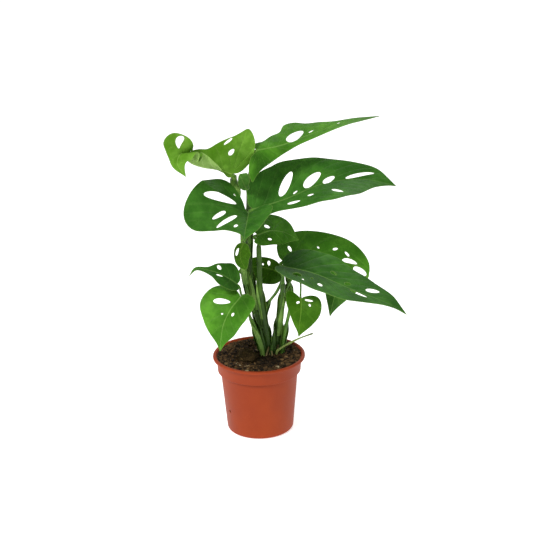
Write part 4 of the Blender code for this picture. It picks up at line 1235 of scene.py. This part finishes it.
def vein_group():
    """Turns a leaf's readings into masks for its midrib, side veins, fine net and thin edge."""
    inputs = [(name, "NodeSocketFloat", 0) for name in ("Veins", "Across", "Margin", "Along")]
    inputs += [("Place", "NodeSocketVector", None), ("Rib Width", "NodeSocketFloat", 1.0)]
    inputs += [("Vein Width", "NodeSocketFloat", 0.06), ("Net Scale", "NodeSocketFloat", 420.0)]
    outputs = [(name, "NodeSocketFloat") for name in ("Rib", "Side Veins", "Net", "Edge", "Height")]
    group, n, given, result = new_group("leaf_veins", inputs, outputs)
    taper = n.ramp(given["Along"], 0.0, 1.0, 1.0, 0.3)
    outer = n.times(n.times(given["Rib Width"], 1.5), taper)
    inner = n.times(n.times(given["Rib Width"], 0.55), taper)
    rib = n.ramp(given["Across"], outer, inner)
    wave = n.times(n.math("SUBTRACT", n.noise(given["Place"], 60.0, 2.0), 0.5), 0.16)
    off_vein = n.math("PINGPONG", n.plus(given["Veins"], wave), 0.5)
    side = n.ramp(off_vein, n.times(given["Vein Width"], 2.0), n.times(given["Vein Width"], 0.3))
    side = n.times(side, n.ramp(given["Margin"], 0.5, 5.0, 0.15, 1.0))
    places = {"Vector": given["Place"], "Scale": given["Net Scale"]}
    cells = n.add("ShaderNodeTexVoronoi", places, feature="DISTANCE_TO_EDGE")
    net = n.ramp(cells.outputs["Distance"], 0.10, 0.0)
    edge = n.ramp(given["Margin"], 0.9, 0.2)
    height = n.math("SUBTRACT", 1.0, n.math("MAXIMUM", n.times(side, 0.8), rib))
    height = n.math("SUBTRACT", height, n.times(net, 0.12))
    for name, value in (("Rib", rib), ("Side Veins", side), ("Net", net), ("Edge", edge), ("Height", height)):
        n.feed(result, name, value)
    return group


def mottle_group():
    """Broad and fine unevenness, as two values round one half."""
    inputs = [("Place", "NodeSocketVector", None)]
    inputs += [("Broad", "NodeSocketFloat", 22.0), ("Fine", "NodeSocketFloat", 260.0)]
    outputs = [("Patches", "NodeSocketFloat"), ("Grain", "NodeSocketFloat")]
    group, n, given, result = new_group("mottle", inputs, outputs)
    n.feed(result, "Patches", n.ramp(n.noise(given["Place"], given["Broad"], 3.0), 0.3, 0.7))
    n.feed(result, "Grain", n.noise(given["Place"], given["Fine"], 4.0, 0.6))
    return group


def peat_shade_group():
    """Painted shade on the peat in front of the stems' feet: 1 at its middle, 0 outside it."""
    inputs = [("Place", "NodeSocketVector", None)]
    group, n, given, result = new_group("peat_painted_shade", inputs, [("Painted Shade", "NodeSocketFloat")])
    ends = {0: given["Place"], 1: PEAT_SHADE_CENTRE}
    away = n.add("ShaderNodeVectorMath", ends, operation="DISTANCE").outputs["Value"]
    uneven = n.times(n.noise(given["Place"], 60.0, 3.0), 0.016)
    n.feed(result, "Painted Shade", n.ramp(n.plus(away, uneven), 0.036, 0.016))
    return group


def new_material(name):
    """A material, the calls that lay out its nodes, its surface, and each point's place on the object."""
    material = bpy.data.materials.new(name)
    material.use_nodes = True
    nodes = Nodes(material.node_tree)
    shader = material.node_tree.nodes["Principled BSDF"]
    return material, nodes, shader, nodes.add("ShaderNodeTexCoord").outputs["Object"]


def use(nodes, group, values):
    node = nodes.add("ShaderNodeGroup", node_tree=group)
    for key, value in values.items():
        nodes.feed(node, key, value)
    return node.outputs


def leaf_material(name, groups, shadow, deep, fresh, rib, gloss, through, rib_show, vein_show):
    """A leaf's skin: shadow is the green of its painted shade, deep and fresh its own greens, rib its
    midrib's colour.
    """
    material, n, shader, place = new_material(name)
    shadow, deep, fresh, rib, edge = colours(shadow, deep, fresh, rib, LEAF_EDGE)
    readings = {name: n.reading(name.lower()) for name in ("Veins", "Across", "Margin", "Along")}
    veins = use(n, groups["veins"], {"Place": place, **readings})
    patches = use(n, groups["mottle"], {"Place": place})
    base = n.blend(patches["Patches"], deep, fresh)
    base = n.blend(n.ramp(n.noise(place, 95.0, 2.0), 0.40, 0.66, 0.0, 0.5), base, deep)
    # Painted shade: the shade reading darkens the green towards the shadow colour.
    base = n.blend(n.times(n.reading("shade"), 0.85), base, shadow)
    base = n.blend(n.times(veins["Side Veins"], vein_show), base, rib)
    base = n.blend(n.times(veins["Net"], 0.10), base, fresh)
    base = n.blend(n.times(veins["Rib"], rib_show), base, rib)
    base = n.blend(n.times(veins["Edge"], 0.3), base, edge)
    base = n.blend(n.ramp(patches["Grain"], 0.35, 0.75, 0.0, 0.22), base, deep)
    rough = n.plus(gloss, n.times(patches["Grain"], 0.16))
    swells = n.times(n.noise(place, 150.0, 3.0, 0.6), 2.2)
    normal = n.bump(0.45, 0.0009, n.plus(veins["Height"], swells))
    n.skin(shader, base, rough, 0.07, normal)
    n.pass_light(shader, through, n.add("ShaderNodeBsdfTranslucent", {"Color": base, "Normal": normal}))
    return material


def stem_material(name, groups, deep, fresh, scar, gloss):
    """Green stem skin with faint lengthwise streaks and a few dull marks."""
    material, n, shader, place = new_material(name)
    deep, fresh, scar = colours(deep, fresh, scar)
    patches = use(n, groups["mottle"], {"Place": place, "Broad": 45.0})
    long = n.add("ShaderNodeMapping", {"Vector": place, "Scale": (1.0, 1.0, 0.09)}).outputs[0]
    streaks = n.noise(long, 900.0, 3.0)
    base = n.blend(patches["Patches"], deep, fresh)
    base = n.blend(n.ramp(streaks, 0.42, 0.66, 0.0, 0.45), base, fresh)
    base = n.blend(n.ramp(patches["Grain"], 0.62, 0.74, 0.0, 0.5), base, scar)
    normal = n.bump(0.3, 0.0005, streaks)
    n.skin(shader, base, n.plus(gloss, n.times(streaks, 0.2)), 0.3, normal)
    return material


def plastic_material(groups):
    """Moulded plastic: faint cloudiness, dust in patches, a painted lighter foot and fine turning lines."""
    material, n, shader, place = new_material("terracotta_plastic")
    patches = use(n, groups["mottle"], {"Place": place, "Broad": 16.0, "Fine": 700.0})
    parts = n.add("ShaderNodeSeparateXYZ", {"Vector": place}).outputs
    lines = n.noise(n.add("ShaderNodeCombineXYZ", {"Z": parts["Z"]}).outputs[0], 900.0, 2.0)
    base = n.blend(patches["Patches"], colour(141, 52, 18), colour(153, 60, 22))
    base = n.blend(n.ramp(patches["Grain"], 0.5, 0.8, 0.0, 0.3), base, colour(164, 73, 38))
    # Painted light: the pot turns paler towards its foot, as if lit by the bright floor.
    base = n.blend(n.ramp(parts["Z"], 0.020, 0.0, 0.0, 0.2), base, colour(164, 64, 26))
    normal = n.bump(0.12, 0.0003, n.plus(lines, patches["Grain"]))
    n.skin(shader, base, n.ramp(patches["Patches"], 0.0, 1.0, 0.44, 0.54), 0.16, normal)
    n.pass_light(shader, 0.06, n.add("ShaderNodeBsdfTranslucent", {"Color": base}))
    return material


def peat_material(name, groups, dark, brown, pale, pale_from):
    """Crumbly peat: dark and brown grains, with pale specks above pale_from."""
    material, n, shader, place = new_material(name)
    dark, brown, pale = colours(dark, brown, pale)
    patches = use(n, groups["mottle"], {"Place": place, "Broad": 55.0, "Fine": 900.0})
    peat_shade = use(n, groups["peat_shade"], {"Place": place})
    grains = n.add("ShaderNodeTexVoronoi", {"Vector": place, "Scale": 520.0})
    base = n.blend(patches["Patches"], dark, brown)
    base = n.blend(n.ramp(grains.outputs["Distance"], 0.2, 0.7, 0.0, 0.6), base, dark)
    speck = n.add("ShaderNodeSeparateColor", {"Color": grains.outputs["Color"]}).outputs[0]
    base = n.blend(n.ramp(speck, pale_from, pale_from + 0.02, 0.0, 0.8), base, pale)
    # Painted shade: the peat turns darker in front of the stems' feet.
    base = n.blend(n.times(peat_shade["Painted Shade"], 0.8), base, dark)
    rough = n.plus(0.78, n.times(patches["Grain"], 0.2))
    normal = n.bump(0.9, 0.0012, n.plus(patches["Grain"], grains.outputs["Distance"]))
    n.skin(shader, base, rough, 0.15, normal)
    return material


def grit_material(groups):
    """Loose grains: mostly dark, some brown bark, a few pale ones, by each grain's own tone."""
    material, n, shader, place = new_material("peat_grit")
    tone = n.reading("tone")
    patches = use(n, groups["mottle"], {"Place": place, "Broad": 400.0, "Fine": 1500.0})
    base = n.blend(n.ramp(tone, 0.1, 0.75), colour(26, 18, 9), colour(98, 73, 43))
    base = n.blend(n.ramp(tone, 0.93, 0.96), base, colour(132, 104, 66))
    base = n.blend(n.ramp(tone, 0.985, 0.99), base, colour(190, 172, 136))
    base = n.blend(n.ramp(patches["Grain"], 0.3, 0.7, 0.5, 0.0), base, colour(22, 14, 8))
    peat_shade = use(n, groups["peat_shade"], {"Place": place})
    # Painted shade: the grains turn darker in front of the stems' feet.
    base = n.blend(n.times(peat_shade["Painted Shade"], 0.75), base, colour(16, 11, 5))
    normal = n.bump(0.7, 0.0006, patches["Grain"])
    n.skin(shader, base, n.plus(0.7, n.times(patches["Grain"], 0.25)), 0.15, normal)
    return material


def make_finishes():
    groups = {"veins": vein_group(), "mottle": mottle_group(), "peat_shade": peat_shade_group()}
    finishes = {}
    for name, look in LEAF_GREENS.items():
        finishes[name] = leaf_material(name, groups, *look, *TOP_VEINS)
    for name in LEAF_GREENS:
        look = TENDER_UNDERSIDE if name == "tender_leaf" else UNDERSIDE
        under = name + "_underside"
        finishes[under] = leaf_material(under, groups, *look, *UNDERSIDE_VEINS)
    for name, look in STEM_LOOKS.items():
        finishes[name] = stem_material(name, groups, *look)
    finishes["terracotta_plastic"] = plastic_material(groups)
    for name, look in PEAT_LOOKS.items():
        finishes[name] = peat_material(name, groups, *look)
    finishes["peat_grit"] = grit_material(groups)
    return finishes


def build_floor():
    deselect()
    bpy.ops.mesh.primitive_plane_add(size=FLOOR_SIZE, location=(0, 0, -0.0005))
    floor = bpy.context.view_layer.objects.active
    floor.name = "floor"
    material, n, shader, place = new_material("pale_floor")
    n.feed(shader, "Base Color", n.blend(n.noise(place, 3.0), colour(250, 250, 250), colour(252, 252, 252)))
    n.feed(shader, "Roughness", 0.9)
    n.feed(shader, "Specular IOR Level", 0.1)
    n.feed(shader, "Emission Color", (1, 1, 1, 1))
    n.feed(shader, "Emission Strength", FLOOR_GLOW)
    floor.data.materials.append(material)


def build_lights():
    """Soft white light from all round, and the lamps."""
    world = bpy.data.worlds.new("studio")
    world.use_nodes = True
    sky = world.node_tree.nodes["Background"].inputs
    sky["Color"].default_value = (1, 1, 1, 1)
    sky["Strength"].default_value = WORLD_LIGHT
    bpy.context.scene.world = world
    for name, place, target, size, power in LAMPS:
        lamp = bpy.data.lights.new(name, "AREA")
        lamp.shape = "DISK"
        lamp.size = size
        lamp.energy = power
        obj = bpy.data.objects.new(name, lamp)
        bpy.context.scene.collection.objects.link(obj)
        obj.location = place
        obj.rotation_euler = (Vector(target) - Vector(place)).to_track_quat("-Z", "Y").to_euler()


def place_camera():
    """The camera where the photo was taken from."""
    lens = bpy.data.cameras.new("camera")
    lens.lens = CAMERA_LENS
    lens.sensor_width = CAMERA_SENSOR
    lens.clip_end = 100
    camera = bpy.data.objects.new("camera", lens)
    bpy.context.scene.collection.objects.link(camera)
    pitch = Matrix.Rotation(math.radians(90 - CAMERA_PITCH), 4, "X")
    roll = Matrix.Rotation(math.radians(CAMERA_ROLL), 4, "Z")
    camera.matrix_world = Matrix.Translation(Vector(CAMERA_PLACE) * MM) @ (pitch @ roll)
    bpy.context.scene.camera = camera
    bpy.context.scene.view_settings.view_transform = "Standard"


def main():
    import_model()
    finishes = make_finishes()
    build_pot(finishes)
    build_soil(finishes)
    build_crumbs(finishes)
    build_clod(finishes)
    build_stems(finishes)
    build_dry_stub(finishes)
    for name, leaf in LEAVES.items():
        build_leaf(name, leaf, finishes)
    build_floor()
    build_lights()
    place_camera()


main()
